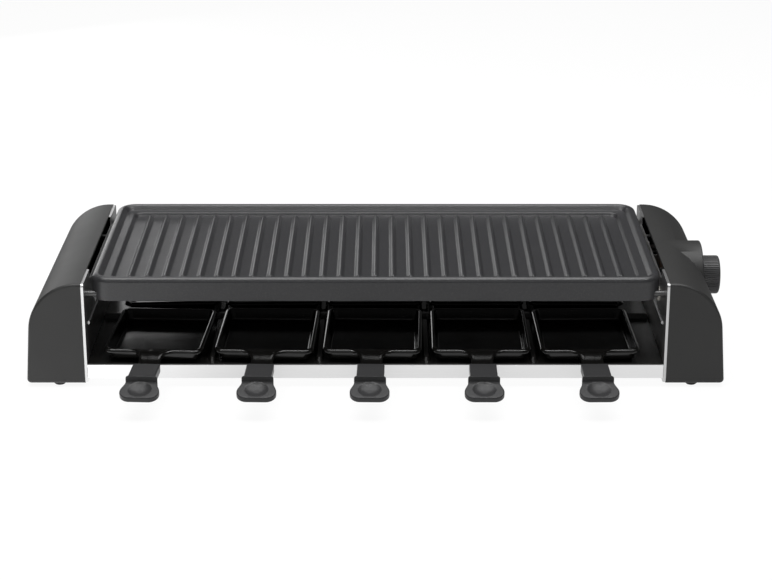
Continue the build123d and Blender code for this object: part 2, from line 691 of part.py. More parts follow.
def heater():
    """One sheathed tube in four runs, its two ends out through the right lining plate."""
    bend = HEATER_PITCH / 2
    near_end = INNER_FACE - HEATER_END_GAP - HEATER_RADIUS - bend
    run_1 = Line((HEATER_END, -HEATER_Y, HEATER_Z), (-near_end, -HEATER_Y, HEATER_Z))
    turn_1 = JernArc(run_1 @ 1, run_1 % 1, bend, -180)
    run_2 = Line(turn_1 @ 1, (near_end, -bend, HEATER_Z))
    turn_2 = JernArc(run_2 @ 1, run_2 % 1, bend, 180)
    run_3 = Line(turn_2 @ 1, (-near_end, bend, HEATER_Z))
    turn_3 = JernArc(run_3 @ 1, run_3 % 1, bend, -180)
    run_4 = Line(turn_3 @ 1, (HEATER_END, HEATER_Y, HEATER_Z))
    path = Wire([run_1, turn_1, run_2, turn_2, run_3, turn_3, run_4])
    tube = sweep(Plane(origin=run_1 @ 0, z_dir=run_1 % 0) * Circle(HEATER_RADIUS), path=path)
    for y in (-HEATER_Y, HEATER_Y):
        tube += rod_x(PIN_RADIUS, HEATER_END, HEATER_END + PIN_LENGTH, y, HEATER_Z)
    return tube


def heater_bush(y):
    """Ceramic bush that keeps the tube clear of the lining plate."""
    body = HEATER_RADIUS + BUSH_WALL
    start = INNER_FACE - BUSH_INNER_REACH
    bush = rod_x(body, start, start + BUSH_LENGTH, y, HEATER_Z)
    bush += rod_x(body + BUSH_COLLAR, BACK_FACE, BACK_FACE + BUSH_COLLAR, y, HEATER_Z)
    bore = HEATER_RADIUS + BUSH_CLEARANCE
    return bush - rod_x(bore, start - OVERRUN, start + BUSH_LENGTH + OVERRUN, y, HEATER_Z)


def heater_clip(side, y):
    """Bent steel strip on the lining plate that holds up one bend of the tube."""
    arm_top = HEATER_Z - HEATER_RADIUS - CLIP_GAP
    arm_low = arm_top - SHEET
    tip = INNER_FACE - HEATER_END_GAP - 2 * HEATER_RADIUS - CLIP_PAST
    section = Polygon(
        (INNER_FACE, arm_top), (INNER_FACE, arm_top - CLIP_LEG),
        (INNER_FACE - SHEET, arm_top - CLIP_LEG), (INNER_FACE - SHEET, arm_low),
        (tip - SHEET, arm_low), (tip - SHEET, arm_top + CLIP_LIP), (tip, arm_top + CLIP_LIP),
        (tip, arm_top)
    )
    clip = Pos(0, y, 0) * extrude(Plane.XZ * section, CLIP_WIDTH / 2, both=True)
    return clip if side > 0 else left_of(clip)


# Thermostat and knob

def thermostat_bracket():
    """Hat-shaped steel bracket on the back of the right lining plate."""
    high = BACK_FACE + BRACKET_REACH
    half = BRACKET_HALF_WIDTH
    foot_y = half + BRACKET_FOOT
    plan = Polygon(
        (BACK_FACE, -foot_y), (BACK_FACE + BRACKET_SHEET, -foot_y),
        (BACK_FACE + BRACKET_SHEET, -half), (high, -half), (high, half),
        (BACK_FACE + BRACKET_SHEET, half), (BACK_FACE + BRACKET_SHEET, foot_y),
        (BACK_FACE, foot_y), (BACK_FACE, half - BRACKET_SHEET),
        (high - BRACKET_SHEET, half - BRACKET_SHEET),
        (high - BRACKET_SHEET, -half + BRACKET_SHEET), (BACK_FACE, -half + BRACKET_SHEET)
    )
    bracket = Pos(0, 0, BOSS_Z) * extrude(plan, BRACKET_HEIGHT / 2, both=True)
    return bracket - rod_x(NOSE_RADIUS + HOLE_CLEARANCE, INNER_EDGE, BOSS_FACE, 0, BOSS_Z)


def thermostat():
    """Thermostat body with its nose through the bracket and two blades for the leads."""
    face = BACK_FACE + BRACKET_REACH - BRACKET_SHEET
    outline = RectangleRounded(THERMOSTAT_WIDTH, THERMOSTAT_HEIGHT, THERMOSTAT_CORNER)
    body = Pos(face, 0, BOSS_Z) * extrude(Plane.YZ * outline, -THERMOSTAT_LENGTH)
    body += rod_x(NOSE_RADIUS, face, face + NOSE_LENGTH, 0, BOSS_Z)
    body -= rod_x(
        SPINDLE_RADIUS + SPINDLE_CLEARANCE, face + NOSE_LENGTH - SPINDLE_DEPTH,
        face + NOSE_LENGTH + OVERRUN, 0, BOSS_Z
    )
    low = BOSS_Z - THERMOSTAT_HEIGHT / 2
    blade_x = face - THERMOSTAT_LENGTH / 2
    for y in blade_places():
        body += block(
            blade_x - SHEET / 2, blade_x + SHEET / 2, y - BLADE_WIDTH / 2, y + BLADE_WIDTH / 2,
            low - BLADE_LENGTH, low
        )
    return body


def blade_places():
    """Y of the thermostat's two blades."""
    reach = THERMOSTAT_WIDTH / 2 - BLADE_WIDTH
    return [-reach, reach]


def spindle_section(clearance):
    """Round shaft with a flat on top, seen along the shaft."""
    radius = SPINDLE_RADIUS + clearance
    flat = SPINDLE_FLAT + clearance
    cut = Pos(0, flat + radius / 2) * Rectangle(2 * radius, radius)
    return Plane.YZ * (Circle(radius) - cut)


def spindle():
    """Steel spindle from the thermostat's nose, through the boss, into the knob."""
    face = BACK_FACE + BRACKET_REACH - BRACKET_SHEET
    start = face + NOSE_LENGTH - SPINDLE_DEPTH + SPINDLE_CLEARANCE
    end = KNOB_BACK + KNOB_SOCKET - SPINDLE_CLEARANCE
    return Pos(start, 0, BOSS_Z) * extrude(spindle_section(0), end - start)


def knob():
    """Fluted knob: hollow behind, with a hub that grips the spindle, and a dished front."""
    blank = rod_x(KNOB_RADIUS, KNOB_BACK, KNOB_FRONT, 0, BOSS_Z)
    front = blank.edges().filter_by(lambda edge: abs(edge.center().X - KNOB_FRONT) < NEAR)
    blank = chamfer(front, KNOB_EDGE)
    flute = Rot(0, 0, 45) * Rectangle(FLUTE_WIDTH, FLUTE_WIDTH)
    outline = Circle(KNOB_RADIUS) - PolarLocations(KNOB_RADIUS, FLUTE_COUNT) * flute
    body = Pos(KNOB_BACK, 0, BOSS_Z) * extrude(Plane.YZ * outline, KNOB_LENGTH)
    body &= blank
    ring = Circle(KNOB_RADIUS - KNOB_SKIRT_WALL) - Circle(KNOB_HUB_RADIUS)
    body -= Pos(KNOB_BACK, 0, BOSS_Z) * extrude(Plane.YZ * ring, KNOB_HOLLOW)
    body -= Pos(KNOB_BACK, 0, BOSS_Z) * extrude(spindle_section(SPINDLE_CLEARANCE), KNOB_SOCKET)
    dish = KNOB_RADIUS - KNOB_SKIRT_WALL
    body -= rod_x(dish, KNOB_FRONT - KNOB_DISH, KNOB_FRONT + OVERRUN, 0, BOSS_Z)
    pointer = block(
        KNOB_FRONT - 2 * KNOB_DISH, KNOB_FRONT + OVERRUN, -POINTER_WIDTH / 2, POINTER_WIDTH / 2,
        BOSS_Z + dish / 2, BOSS_Z + KNOB_RADIUS + OVERRUN
    )
    return body - pointer


# Wiring inside the right panel

def pole_places():
    """X of each pole of the terminal block."""
    pitch = BLOCK_LENGTH / BLOCK_POLES
    first = INNER_EDGE + BLOCK_OUT - pitch * (BLOCK_POLES - 1) / 2
    return [first + pitch * index for index in range(BLOCK_POLES)]


def terminal_block():
    """Three-pole block on the panel's floor, each pole with a screw tower."""
    floor = PANEL_LOW + PANEL_WALL
    middle_x = INNER_EDGE + BLOCK_OUT
    y = HALF_DEPTH - BLOCK_INSET
    body = block(
        middle_x - BLOCK_LENGTH / 2, middle_x + BLOCK_LENGTH / 2,
        y - BLOCK_WIDTH / 2, y + BLOCK_WIDTH / 2, floor, floor + BLOCK_HEIGHT
    )
    top = floor + BLOCK_HEIGHT
    for x in pole_places():
        body += rod_z(TOWER_RADIUS, x, y, top, top + TOWER_HEIGHT)
        body -= rod_z(TOWER_BORE, x, y, top, top + TOWER_HEIGHT + OVERRUN)
    return body


def thermal_fuse():
    """Thermal fuse in a holder on the back of the right lining plate."""
    x = BACK_FACE + FUSE_RADIUS + SHEET
    half = FUSE_LENGTH / 2
    holder = block(
        BACK_FACE, x, FUSE_Y - FUSE_SEAT / 2, FUSE_Y + FUSE_SEAT / 2,
        FUSE_Z - half + SHEET, FUSE_Z + half - SHEET
    )
    return holder + rod_z(FUSE_RADIUS, x, FUSE_Y, FUSE_Z - half, FUSE_Z + half)


def lead(points):
    """An insulated lead along straight runs with round corners."""
    path = FilletPolyline(*points, radius=LEAD_BEND)
    return sweep(Plane(origin=path @ 0, z_dir=path % 0) * Circle(LEAD_RADIUS), path=path)


def internal_leads():
    """Leads from the block to the thermostat and the fuse, and from those to the heater."""
    block_front = HALF_DEPTH - BLOCK_INSET - BLOCK_WIDTH / 2 - LEAD_GAP
    wire_z = PANEL_LOW + PANEL_WALL + BLOCK_HEIGHT / 2
    poles = pole_places()
    blade_x = BACK_FACE + BRACKET_REACH - BRACKET_SHEET - THERMOSTAT_LENGTH / 2
    blade_low = BOSS_Z - THERMOSTAT_HEIGHT / 2 - BLADE_LENGTH - LEAD_GAP
    front_blade, rear_blade = blade_places()
    pin_x = HEATER_END + PIN_LENGTH + LEAD_GAP
    fuse_x = BACK_FACE + FUSE_RADIUS + SHEET
    fuse_low = FUSE_Z - FUSE_LENGTH / 2 - LEAD_GAP
    fuse_high = FUSE_Z + FUSE_LENGTH / 2 + LEAD_GAP
    bend_room = 2 * LEAD_BEND
    to_thermostat = lead([
        (poles[1], block_front, wire_z), (poles[1], rear_blade, wire_z),
        (blade_x, rear_blade, wire_z + bend_room), (blade_x, rear_blade, blade_low)
    ])
    to_front_pin = lead([
        (blade_x, front_blade, blade_low), (blade_x, front_blade, blade_low - bend_room),
        (pin_x + bend_room, -HEATER_Y / 2, blade_low - bend_room),
        (pin_x + bend_room, -HEATER_Y, HEATER_Z), (pin_x, -HEATER_Y, HEATER_Z)
    ])
    to_fuse = lead([
        (poles[0], block_front, wire_z), (poles[0], block_front - bend_room, wire_z),
        (fuse_x, FUSE_Y, wire_z + 2 * bend_room), (fuse_x, FUSE_Y, fuse_low)
    ])
    to_rear_pin = lead([
        (fuse_x, FUSE_Y, fuse_high), (fuse_x, FUSE_Y, fuse_high + bend_room),
        (pin_x + bend_room, (FUSE_Y + HEATER_Y) / 2, HEATER_Z),
        (pin_x + bend_room, HEATER_Y, HEATER_Z), (pin_x, HEATER_Y, HEATER_Z)
    ])
    return [to_thermostat, to_front_pin, to_fuse, to_rear_pin]


def cord_gland():
    """Bush in the rear wall of the right panel, where the mains lead would go in."""
    x = INNER_EDGE + GLAND_OUT
    z = PANEL_LOW + GLAND_RISE
    inside = HALF_DEPTH - PANEL_WALL
    barrel = GLAND_BORE + GLAND_WALL
    collar = barrel + GLAND_COLLAR
    thick = GLAND_COLLAR_THICKNESS
    gland = rod_y(barrel, x, inside - thick, HALF_DEPTH + thick, z)
    gland += rod_y(collar, x, inside - thick, inside, z)
    gland += rod_y(collar, x, HALF_DEPTH, HALF_DEPTH + thick, z)
    return gland - rod_y(GLAND_BORE, x, inside - OVERRUN, HALF_DEPTH + OVERRUN, z)


# Screws

def panel_screws():
    """Screws through the lining plates into the panels' posts."""
    screws = []
    for y, z in post_places():
        screw = rod_x(SCREW_HEAD_RADIUS, INNER_FACE - SCREW_HEAD, INNER_FACE, y, z)
        screw += rod_x(SCREW_RADIUS, INNER_FACE, INNER_FACE + SCREW_LENGTH, y, z)
        screws += [screw, left_of(screw)]
    return screws


def base_screws():
    """Screws from below through the tabs into the base."""
    screws = []
    x = INNER_FACE - TAB_LENGTH / 2
    low = BASE_LOW - SHEET
    for y in tab_places():
        screw = rod_z(SCREW_HEAD_RADIUS, x, y, low - SCREW_HEAD, low)
        screw += rod_z(SCREW_RADIUS, x, y, low, BASE_LOW + SHEET + SCREW_HEAD)
        screws += [screw, left_of(screw)]
    return screws


# Writing the pieces, with the whole part centred on its own outline

def save(name, shape):
    """Write one piece, or a group of separate solids, under its own name."""
    solids = shape if isinstance(shape, list) else [shape]
    moved = []
    for item in solids:
        moved += (Pos(CENTRE_SHIFT, 0, 0) * item).solids()
    piece = moved[0] if len(moved) == 1 else Compound(children=moved)
    export_step(piece, f"parts/{name}.step")


def main():
    os.makedirs("parts", exist_ok=True)
    save("right_side_panel", side_panel(True))
    save("left_side_panel", left_of(side_panel(False)))
    save("right_inner_plate", inner_plate(True))
    save("left_inner_plate", left_of(inner_plate(False)))
    save("base_plate", base_plate())
    save("pan_tray", pan_tray())
    save("grill_plate", grill_plate())
    save("plate_rest_studs", [rest_stud(s, y) for s in (-1, 1) for y in (-STUD_Y, STUD_Y)])
    save("heating_element", heater())
    save("heater_bushes", [heater_bush(y) for y in (-HEATER_Y, HEATER_Y)])
    save("heater_clips", [
        heater_clip(-1, -HEATER_PITCH), heater_clip(-1, HEATER_PITCH), heater_clip(1, 0)
    ])
    save("thermostat_bracket", thermostat_bracket())
    save("thermostat", thermostat())
    save("thermostat_spindle", spindle())
    save("control_knob", knob())
    save("terminal_block", terminal_block())
    save("thermal_fuse", thermal_fuse())
    save("internal_leads", internal_leads())
    save("cord_gland", cord_gland())
    save("panel_screws", panel_screws())
    save("base_screws", base_screws())
    foot_y = HALF_DEPTH - FOOT_INSET
    for end, y in (("front", -foot_y), ("rear", foot_y)):
        save(f"foot_{end}_left", foot(-1, y))
        save(f"foot_{end}_right", foot(1, y))
    pan = pan_shape()
    grip = grip_shape()
    for ending, place in pan_places():
        save(f"pan_{ending}", place * pan)
        save(f"grip_{ending}", place * grip)


main()
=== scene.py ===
# %% [markdown]
# # A table grill for ten people
#
# The object is a black electric grill: a ribbed cast plate on top, a tube heater under it, and
# ten small pans that slide in below from both long sides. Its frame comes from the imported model,
# where every piece already lies at its real place and size. This lesson gives each piece its
# finish, and models afresh, in fine meshes, the pieces whose curves the eye looks for.

# %% Load the frame
import json
import math

import bmesh
import bpy
from mathutils import Matrix, Vector

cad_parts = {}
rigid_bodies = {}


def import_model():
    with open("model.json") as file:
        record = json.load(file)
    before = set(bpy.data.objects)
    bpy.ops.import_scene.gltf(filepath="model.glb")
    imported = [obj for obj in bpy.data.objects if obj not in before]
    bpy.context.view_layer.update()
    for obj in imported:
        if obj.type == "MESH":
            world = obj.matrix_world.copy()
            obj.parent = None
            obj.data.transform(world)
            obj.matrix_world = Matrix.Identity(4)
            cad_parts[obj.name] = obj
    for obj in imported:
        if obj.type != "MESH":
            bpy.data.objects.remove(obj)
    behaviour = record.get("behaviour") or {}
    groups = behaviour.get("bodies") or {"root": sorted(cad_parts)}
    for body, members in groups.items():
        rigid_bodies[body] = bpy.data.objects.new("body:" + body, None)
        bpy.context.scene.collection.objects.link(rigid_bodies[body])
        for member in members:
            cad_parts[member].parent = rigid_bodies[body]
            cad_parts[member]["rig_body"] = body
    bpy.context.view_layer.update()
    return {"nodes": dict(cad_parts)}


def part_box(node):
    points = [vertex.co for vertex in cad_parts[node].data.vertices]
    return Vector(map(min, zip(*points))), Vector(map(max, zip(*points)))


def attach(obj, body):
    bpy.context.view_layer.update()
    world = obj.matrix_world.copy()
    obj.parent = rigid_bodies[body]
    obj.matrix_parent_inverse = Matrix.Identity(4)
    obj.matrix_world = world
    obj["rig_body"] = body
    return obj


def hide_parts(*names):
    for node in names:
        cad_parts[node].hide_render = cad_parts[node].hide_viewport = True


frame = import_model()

MM = 0.001

# %% [markdown]
# ## Where things are
#
# All sizes are metres, written as millimetres times MM. Outside sizes are read from the boxes of
# the nodes, so that a piece modelled here fills the same space as the solid that it stands for.

# %% Read the main boxes
left_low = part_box("left_side_panel")[0]
right_low, right_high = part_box("right_side_panel")
plate_low, plate_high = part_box("grill_plate")
pan_low, pan_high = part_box("pan_front_1")
knob_low, knob_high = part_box("control_knob")

BODY_X = (left_low.x + right_high.x) / 2
BODY_FRONT = right_low.y
BODY_BACK = right_high.y
PANEL_LOW = right_low.z
PANEL_TOP = right_high.z
body_length = right_high.x - left_low.x
print("body:", round(body_length / MM, 1), "mm long, centre at", round(BODY_X / MM, 2), "mm")

# %% [markdown]
# ## Helpers for modelling
#
# Most forms here are stacks of closed loops: rectangles with round corners, each a little smaller
# or lower than the last, bridged into walls. One operator makes each step. A grid of one face is
# the rectangle, a vertex bevel rounds its corners, and bridge_loops makes the wall between two
# loops. Because every loop of a stack has as many points as its neighbour, the walls are clean
# four-sided faces that take light evenly.

# %% Loops, walls and caps
MERGE = 0.002 * MM
SPREAD = 10 * MM


def near(value, place):
    """Whether a coordinate lies at a place, within the merging distance."""
    return abs(value - place) < MERGE


def settle(bm):
    """Merge doubled points and turn every face outwards."""
    bmesh.ops.remove_doubles(bm, verts=bm.verts, dist=MERGE)
    bmesh.ops.recalc_face_normals(bm, faces=bm.faces)


def round_edges(bm, edges, radius, steps, affect="EDGES"):
    """Round some edges of a solid; gives back the new points."""
    return bmesh.ops.bevel(
        bm, geom=edges, offset=radius, offset_type="OFFSET", segments=steps, profile=0.5,
        affect=affect, material=-1
    )["verts"]


def round_corners(bm, corners, radius, steps):
    """Round some corner points of a flat face; gives back the new points."""
    return round_edges(bm, corners, radius, steps, "VERTICES")


def rounded_loop(bm, width, depth, corner, height, steps, centre=(0, 0)):
    """A closed loop of edges, level at a height: a rectangle with round corners."""
    corners = bmesh.ops.create_grid(bm, x_segments=1, y_segments=1, size=0.5)["verts"]
    bmesh.ops.scale(bm, vec=(width, depth, 1), verts=corners)
    bmesh.ops.translate(bm, vec=(centre[0], centre[1], height), verts=corners)
    face = round_corners(bm, corners, corner, steps)[0].link_faces[0]
    edges = list(face.edges)
    bmesh.ops.delete(bm, geom=[face], context="FACES_ONLY")
    return edges


def circle_loop(bm, radius, height, steps, centre=(0, 0)):
    """A closed round loop of edges, level at a height."""
    place = Matrix.Translation((centre[0], centre[1], height))
    points = bmesh.ops.create_circle(bm, radius=radius, segments=steps, matrix=place)["verts"]
    return list({edge for point in points for edge in point.link_edges})


def set_height(loop, height):
    """Lay a level loop at another height."""
    for edge in loop:
        for point in edge.verts:
            point.co.z = height


def bridge(bm, loops):
    """Walls between each loop of a stack and the next.

    Two loops in one plane don't tell the operator which way to walk round them, so the stack is
    pulled apart upwards while it is bridged, and each loop then goes back to its own height.
    """
    heights = [loop[0].verts[0].co.z for loop in loops]
    for number, loop in enumerate(loops):
        set_height(loop, number * SPREAD)
    for one, other in zip(loops, loops[1:]):
        bmesh.ops.bridge_loops(bm, edges=one + other)
    for loop, height in zip(loops, heights):
        set_height(loop, height)


def stack(bm, width, depth, rows, steps, centre=(0, 0)):
    """A wall of bridged loops; a row says how far in a loop lies, how high, and its corner."""
    loops = [
        rounded_loop(bm, width - 2 * inset, depth - 2 * inset, corner, height, steps, centre)
        for inset, height, corner in rows
    ]
    bridge(bm, loops)
    return loops


def cap(bm, loop):
    """One flat face that closes a loop."""
    bmesh.ops.edgeloop_fill(bm, edges=loop)


def fill_between(bm, loops):
    """Level faces inside the first loop and outside the others, which are its holes."""
    edges = [edge for loop in loops for edge in loop]
    bmesh.ops.triangle_fill(bm, edges=edges, use_beauty=True, use_dissolve=False, normal=(0, 0, 1))


# %% [markdown]
# Other forms start from a flat face that is pulled out, from a block or from a rod. Two curves
# recur in the sections: the quarter round of an edge, and a step that starts and ends softly.

# %% Faces, blocks, rods and curves
def mirrored_face(bm, side, height):
    """A level face from the corners of its right side and their mirror image."""
    corners = side + [(-x, y) for x, y in reversed(side)]
    points = [bm.verts.new((x, y, height)) for x, y in corners]
    bm.faces.new(points)
    return points


def largest(faces):
    """The face with the largest area."""
    return max(faces, key=lambda face: face.calc_area())


def pull(bm, face, way):
    """Pull a flat face out into a closed block."""
    pulled = bmesh.ops.extrude_face_region(bm, geom=[face], use_keep_orig=True)["geom"]
    far = [v for v in pulled if isinstance(v, bmesh.types.BMVert)]
    bmesh.ops.translate(bm, vec=way, verts=far)
    settle(bm)


def block(size, centre):
    """A rectangular block as a new bmesh."""
    bm = bmesh.new()
    place = Matrix.Translation(centre) @ Matrix.Diagonal((*size, 1))
    bmesh.ops.create_cube(bm, size=1, matrix=place)
    return bm


def rod(radius, length, centre, steps):
    """A closed round rod along X as a new bmesh."""
    bm = bmesh.new()
    place = Matrix.Translation(centre) @ Matrix.Rotation(math.pi / 2, 4, "Y")
    bmesh.ops.create_cone(
        bm, cap_ends=True, segments=steps, radius1=radius, radius2=radius, depth=length,
        matrix=place
    )
    return bm


def arc_steps(radius, steps):
    """Points of a quarter round as (in, up) pairs, from its side to its top."""
    angles = [math.pi / 2 * step / steps for step in range(steps + 1)]
    return [(radius * (1 - math.cos(a)), radius * math.sin(a)) for a in angles]


def smooth_step(share):
    """A share from 0 to 1 that starts and ends softly."""
    share = min(1, max(0, share))
    return share * share * (3 - 2 * share)


# %% [markdown]
# A finished piece keeps its object at the origin and rides on the body of the node that it stands
# for. Flat faces meet round edges everywhere on pressed and moulded goods, and weighted normals
# keep the flats flat in the reflections. Where one form cuts or joins another, a boolean does it.

# %% Finish and placing of a new piece
SMOOTH_ANGLE = math.radians(38)
EDGE_ANGLE = math.radians(32)
made = {}


def add_object(name, data):
    """A new object in the scene."""
    thing = bpy.data.objects.new(name, data)
    bpy.context.scene.collection.objects.link(thing)
    return thing


def mesh_from(bm, name):
    """A smooth-shaded mesh from a bmesh, sharp only where faces meet at a real edge."""
    mesh = bpy.data.meshes.new(name)
    bm.to_mesh(mesh)
    for face in mesh.polygons:
        face.use_smooth = True
    mesh.set_sharp_from_angle(angle=SMOOTH_ANGLE)
    return mesh


def place_piece(name, mesh, node, material):
    """An object that stands for a node, on the node's body."""
    piece = add_object(name, mesh)
    mesh.materials.append(material)
    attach(piece, frame["nodes"][node]["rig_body"])
    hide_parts(node)
    made[name] = piece
    return piece


def even_shading(piece):
    """Let large faces decide the normals at their edges."""
    piece.modifiers.new("flat faces stay flat", "WEIGHTED_NORMAL").keep_sharp = True


def finish_piece(name, bm, node, material, edge=0):
    """Place a modelled piece; edge is the width of the bevel that breaks its sharp edges."""
    piece = place_piece(name, mesh_from(bm, name), node, material)
    bm.free()
    if edge:
        broken = piece.modifiers.new("broken edges", "BEVEL")
        broken.width = edge
        broken.segments = 2
        broken.limit_method = "ANGLE"
        broken.angle_limit = EDGE_ANGLE
    even_shading(piece)
    return piece


def combine(base, tool, operation):
    """Two closed bmeshes joined or cut; gives back a new bmesh and frees both."""
    solids = []
    for part in (base, tool):
        settle(part)
        mesh = bpy.data.meshes.new("solid")
        part.to_mesh(mesh)
        part.free()
        solids.append(add_object("solid", mesh))
    joined = solids[0].modifiers.new("combine", "BOOLEAN")
    joined.object = solids[1]
    joined.operation = operation
    joined.solver = "EXACT"
    seen = solids[0].evaluated_get(bpy.context.evaluated_depsgraph_get())
    result = bmesh.new()
    result.from_mesh(seen.to_mesh())
    seen.to_mesh_clear()
    for solid in solids:
        mesh = solid.data
        bpy.data.objects.remove(solid)
        bpy.data.meshes.remove(mesh)
    return result


# %% [markdown]
# ## Effects that several finishes share
#
# Each effect is a node group with named inputs. A group gives only colours, masks and heights
# that change over the surface, and the shader stays in the material. All patterns read Object
# coordinates in metres, so a grain of 0.4 mm is 0.4 mm on every piece.

# %% Helpers for shader nodes
FLOAT = "NodeSocketFloat"
COLOUR = "NodeSocketColor"
VECTOR = "NodeSocketVector"


def grey(value):
    """A neutral colour."""
    return (value, value, value, 1)


def new_group(name, inputs, outputs):
    """An empty node group; gives its tree, the inputs to read and the outputs to feed.

    Inputs are (name, socket type, value) rows, and outputs are (name, socket type) rows.
    """
    tree = bpy.data.node_groups.new(name, "ShaderNodeTree")
    for label, kind, value in inputs:
        socket = tree.interface.new_socket(name=label, in_out="INPUT", socket_type=kind)
        socket.default_value = value
    for label, kind in outputs:
        tree.interface.new_socket(name=label, in_out="OUTPUT", socket_type=kind)
    inside = tree.nodes.new("NodeGroupInput")
    outside = tree.nodes.new("NodeGroupOutput")
    return tree, inside.outputs, outside.inputs


def feed(socket, value):
    """Give a socket its value: the output of another node, or a number."""
    if isinstance(value, bpy.types.NodeSocket):
        socket.id_data.links.new(value, socket)
    else:
        socket.default_value = value


def fill(node, **values):
    """Feed a node's inputs by name; an underscore in a name stands for a space."""
    for label, value in values.items():
        feed(node.inputs[label.replace("_", " ")], value)
    return node


def add_node(tree, kind, **values):
    """A shader node with inputs fed by name."""
    return fill(tree.nodes.new("ShaderNode" + kind), **values)


def calc(tree, operation, first, second, kind="Math", result="Value"):
    """The result of a maths node; each operand is an output or a number."""
    node = add_node(tree, kind)
    node.operation = operation
    for socket, value in zip(node.inputs, (first, second)):
        feed(socket, value)
    return node.outputs[result]


def mix_colours(tree, factor, low, high):
    """A colour between two others, as its factor says."""
    mix = add_node(tree, "Mix")
    mix.data_type = "RGBA"
    return fill(mix, Factor=factor, A=low, B=high).outputs["Result"]


def piece_place(tree):
    """The place on the piece in metres."""
    return add_node(tree, "TexCoord").outputs["Object"]


# %% [markdown]
# **Fine grain.** Moulds for black plastic are spark-eroded, which leaves a satin skin of tiny
# pits. Sand-blasted castings look alike at another size. Noise at the grain's size gives its
# height, and a second noise, five times as large, keeps it from looking like a printed pattern.

# %% Fine grain group
GRAIN_TIMES = (1, 5)
grain_group, given, result = new_group(
    "Fine grain", [("Grain size", FLOAT, 0.4 * MM)], [("Height", FLOAT)]
)
place = piece_place(grain_group)
heights = []
for times in GRAIN_TIMES:
    size = calc(grain_group, "MULTIPLY", given["Grain size"], times)
    scale = calc(grain_group, "DIVIDE", 1, size)
    noise = add_node(grain_group, "TexNoise", Detail=2, Scale=scale, Vector=place)
    heights.append(noise.outputs["Fac"])
feed(result["Height"], calc(grain_group, "ADD", *heights))

# %% [markdown]
# **Uneven gloss.** No real surface is equally smooth all over: handling and cleaning leave
# patches a little duller or brighter. The group moves a roughness up and down in soft patches.

# %% Uneven gloss group
NOISE_MIDDLE = 0.5
gloss_group, given, result = new_group(
    "Uneven gloss",
    [("Roughness", FLOAT, 0.4), ("Spread", FLOAT, 0.1), ("Patch size", FLOAT, 30 * MM)],
    [("Roughness", FLOAT)]
)
scale = calc(gloss_group, "DIVIDE", 1, given["Patch size"])
noise = add_node(
    gloss_group, "TexNoise", Detail=4, Roughness=0.6, Scale=scale, Vector=piece_place(gloss_group)
)
swing = calc(gloss_group, "SUBTRACT", noise.outputs["Fac"], NOISE_MIDDLE)
swing = calc(gloss_group, "MULTIPLY", swing, given["Spread"])
feed(result["Roughness"], calc(gloss_group, "ADD", given["Roughness"], swing))

# %% [markdown]
# **Brushed lines.** Sheet steel is brushed along its length. The noise is squeezed across the
# brushing and stretched along it, which gives long thin scratches for the height and the tone.

# %% Brushed lines group
brushed_group, given, result = new_group(
    "Brushed lines",
    [("Lines per metre", VECTOR, (6, 2500, 2500)), ("Light", COLOUR, grey(0.8)),
     ("Dark", COLOUR, grey(0.6))],
    [("Colour", COLOUR), ("Height", FLOAT)]
)
squeezed = calc(
    brushed_group, "MULTIPLY", piece_place(brushed_group), given["Lines per metre"],
    "VectorMath", "Vector"
)
lines = add_node(brushed_group, "TexNoise", Scale=1, Detail=3, Vector=squeezed).outputs["Fac"]
feed(result["Colour"], mix_colours(brushed_group, lines, given["Dark"], given["Light"]))
feed(result["Height"], lines)

# %% [markdown]
# ** Edge highlight and rubbing.** Edges are painted a shade lighter: partly a painted highlight
# along every edge, partly real rubbing, as edges are handled, wiped and knocked first and a
# coating is thinner there. The Bevel node gives the normal that a rounded edge would have, and
# where that differs from the true normal there is an edge.

# %% Edge highlight and rubbing group
EDGE_GAIN = 4
edge_highlight_and_rubbing_group, given, result = new_group(
    "Edge highlight and rubbing",
    [("Colour", COLOUR, grey(0.05)), ("Worn colour", COLOUR, grey(0.2)),
     ("Width", FLOAT, 0.8 * MM), ("Amount", FLOAT, 0.3)],
    [("Colour", COLOUR)]
)
rounded = add_node(edge_highlight_and_rubbing_group, "Bevel", Radius=given["Width"])
rounded.samples = 4
true = add_node(edge_highlight_and_rubbing_group, "NewGeometry").outputs["Normal"]
agree = calc(edge_highlight_and_rubbing_group, "DOT_PRODUCT", rounded.outputs["Normal"], true, "VectorMath")
edge = calc(edge_highlight_and_rubbing_group, "MULTIPLY", calc(edge_highlight_and_rubbing_group, "SUBTRACT", 1, agree), EDGE_GAIN)
edge = calc(edge_highlight_and_rubbing_group, "MULTIPLY", calc(edge_highlight_and_rubbing_group, "MINIMUM", edge, 1), given["Amount"])
feed(result["Colour"], mix_colours(edge_highlight_and_rubbing_group, edge, given["Colour"], given["Worn colour"]))

# %% [markdown]
# **Coating flecks.** A non-stick coating is sprayed and baked, and mineral flecks in it catch
# the light. Small cells of a Voronoi pattern, most of them left dark, make the flecks.

# %% Coating flecks group
fleck_group, given, result = new_group(
    "Coating flecks",
    [("Colour", COLOUR, grey(0.03)), ("Fleck colour", COLOUR, grey(0.2)),
     ("Fleck size", FLOAT, 0.5 * MM), ("Share", FLOAT, 0.1)],
    [("Colour", COLOUR)]
)
scale = calc(fleck_group, "DIVIDE", 1, given["Fleck size"])
cells = add_node(fleck_group, "TexVoronoi", Vector=piece_place(fleck_group), Scale=scale)
parts = add_node(fleck_group, "SeparateColor", Color=cells.outputs["Color"])
chosen = calc(fleck_group, "LESS_THAN", parts.outputs["Red"], given["Share"])
feed(result["Colour"], mix_colours(fleck_group, chosen, given["Colour"], given["Fleck colour"]))
print("effects:", [tree.name for tree in bpy.data.node_groups])

# %% [markdown]
# ## The finishes
#
# Every finish is the Principled shader with some of the effects in front of it. The numbers that
# are the same all over a surface, such as how metallic it is, stay on the shader's own sockets.

# %% Start of a finish
def start_finish(name):
    """A new material; gives its material, its tree and its shader."""
    material = bpy.data.materials.new(name)
    material.use_nodes = True
    tree = material.node_tree
    return material, tree, tree.nodes["Principled BSDF"]


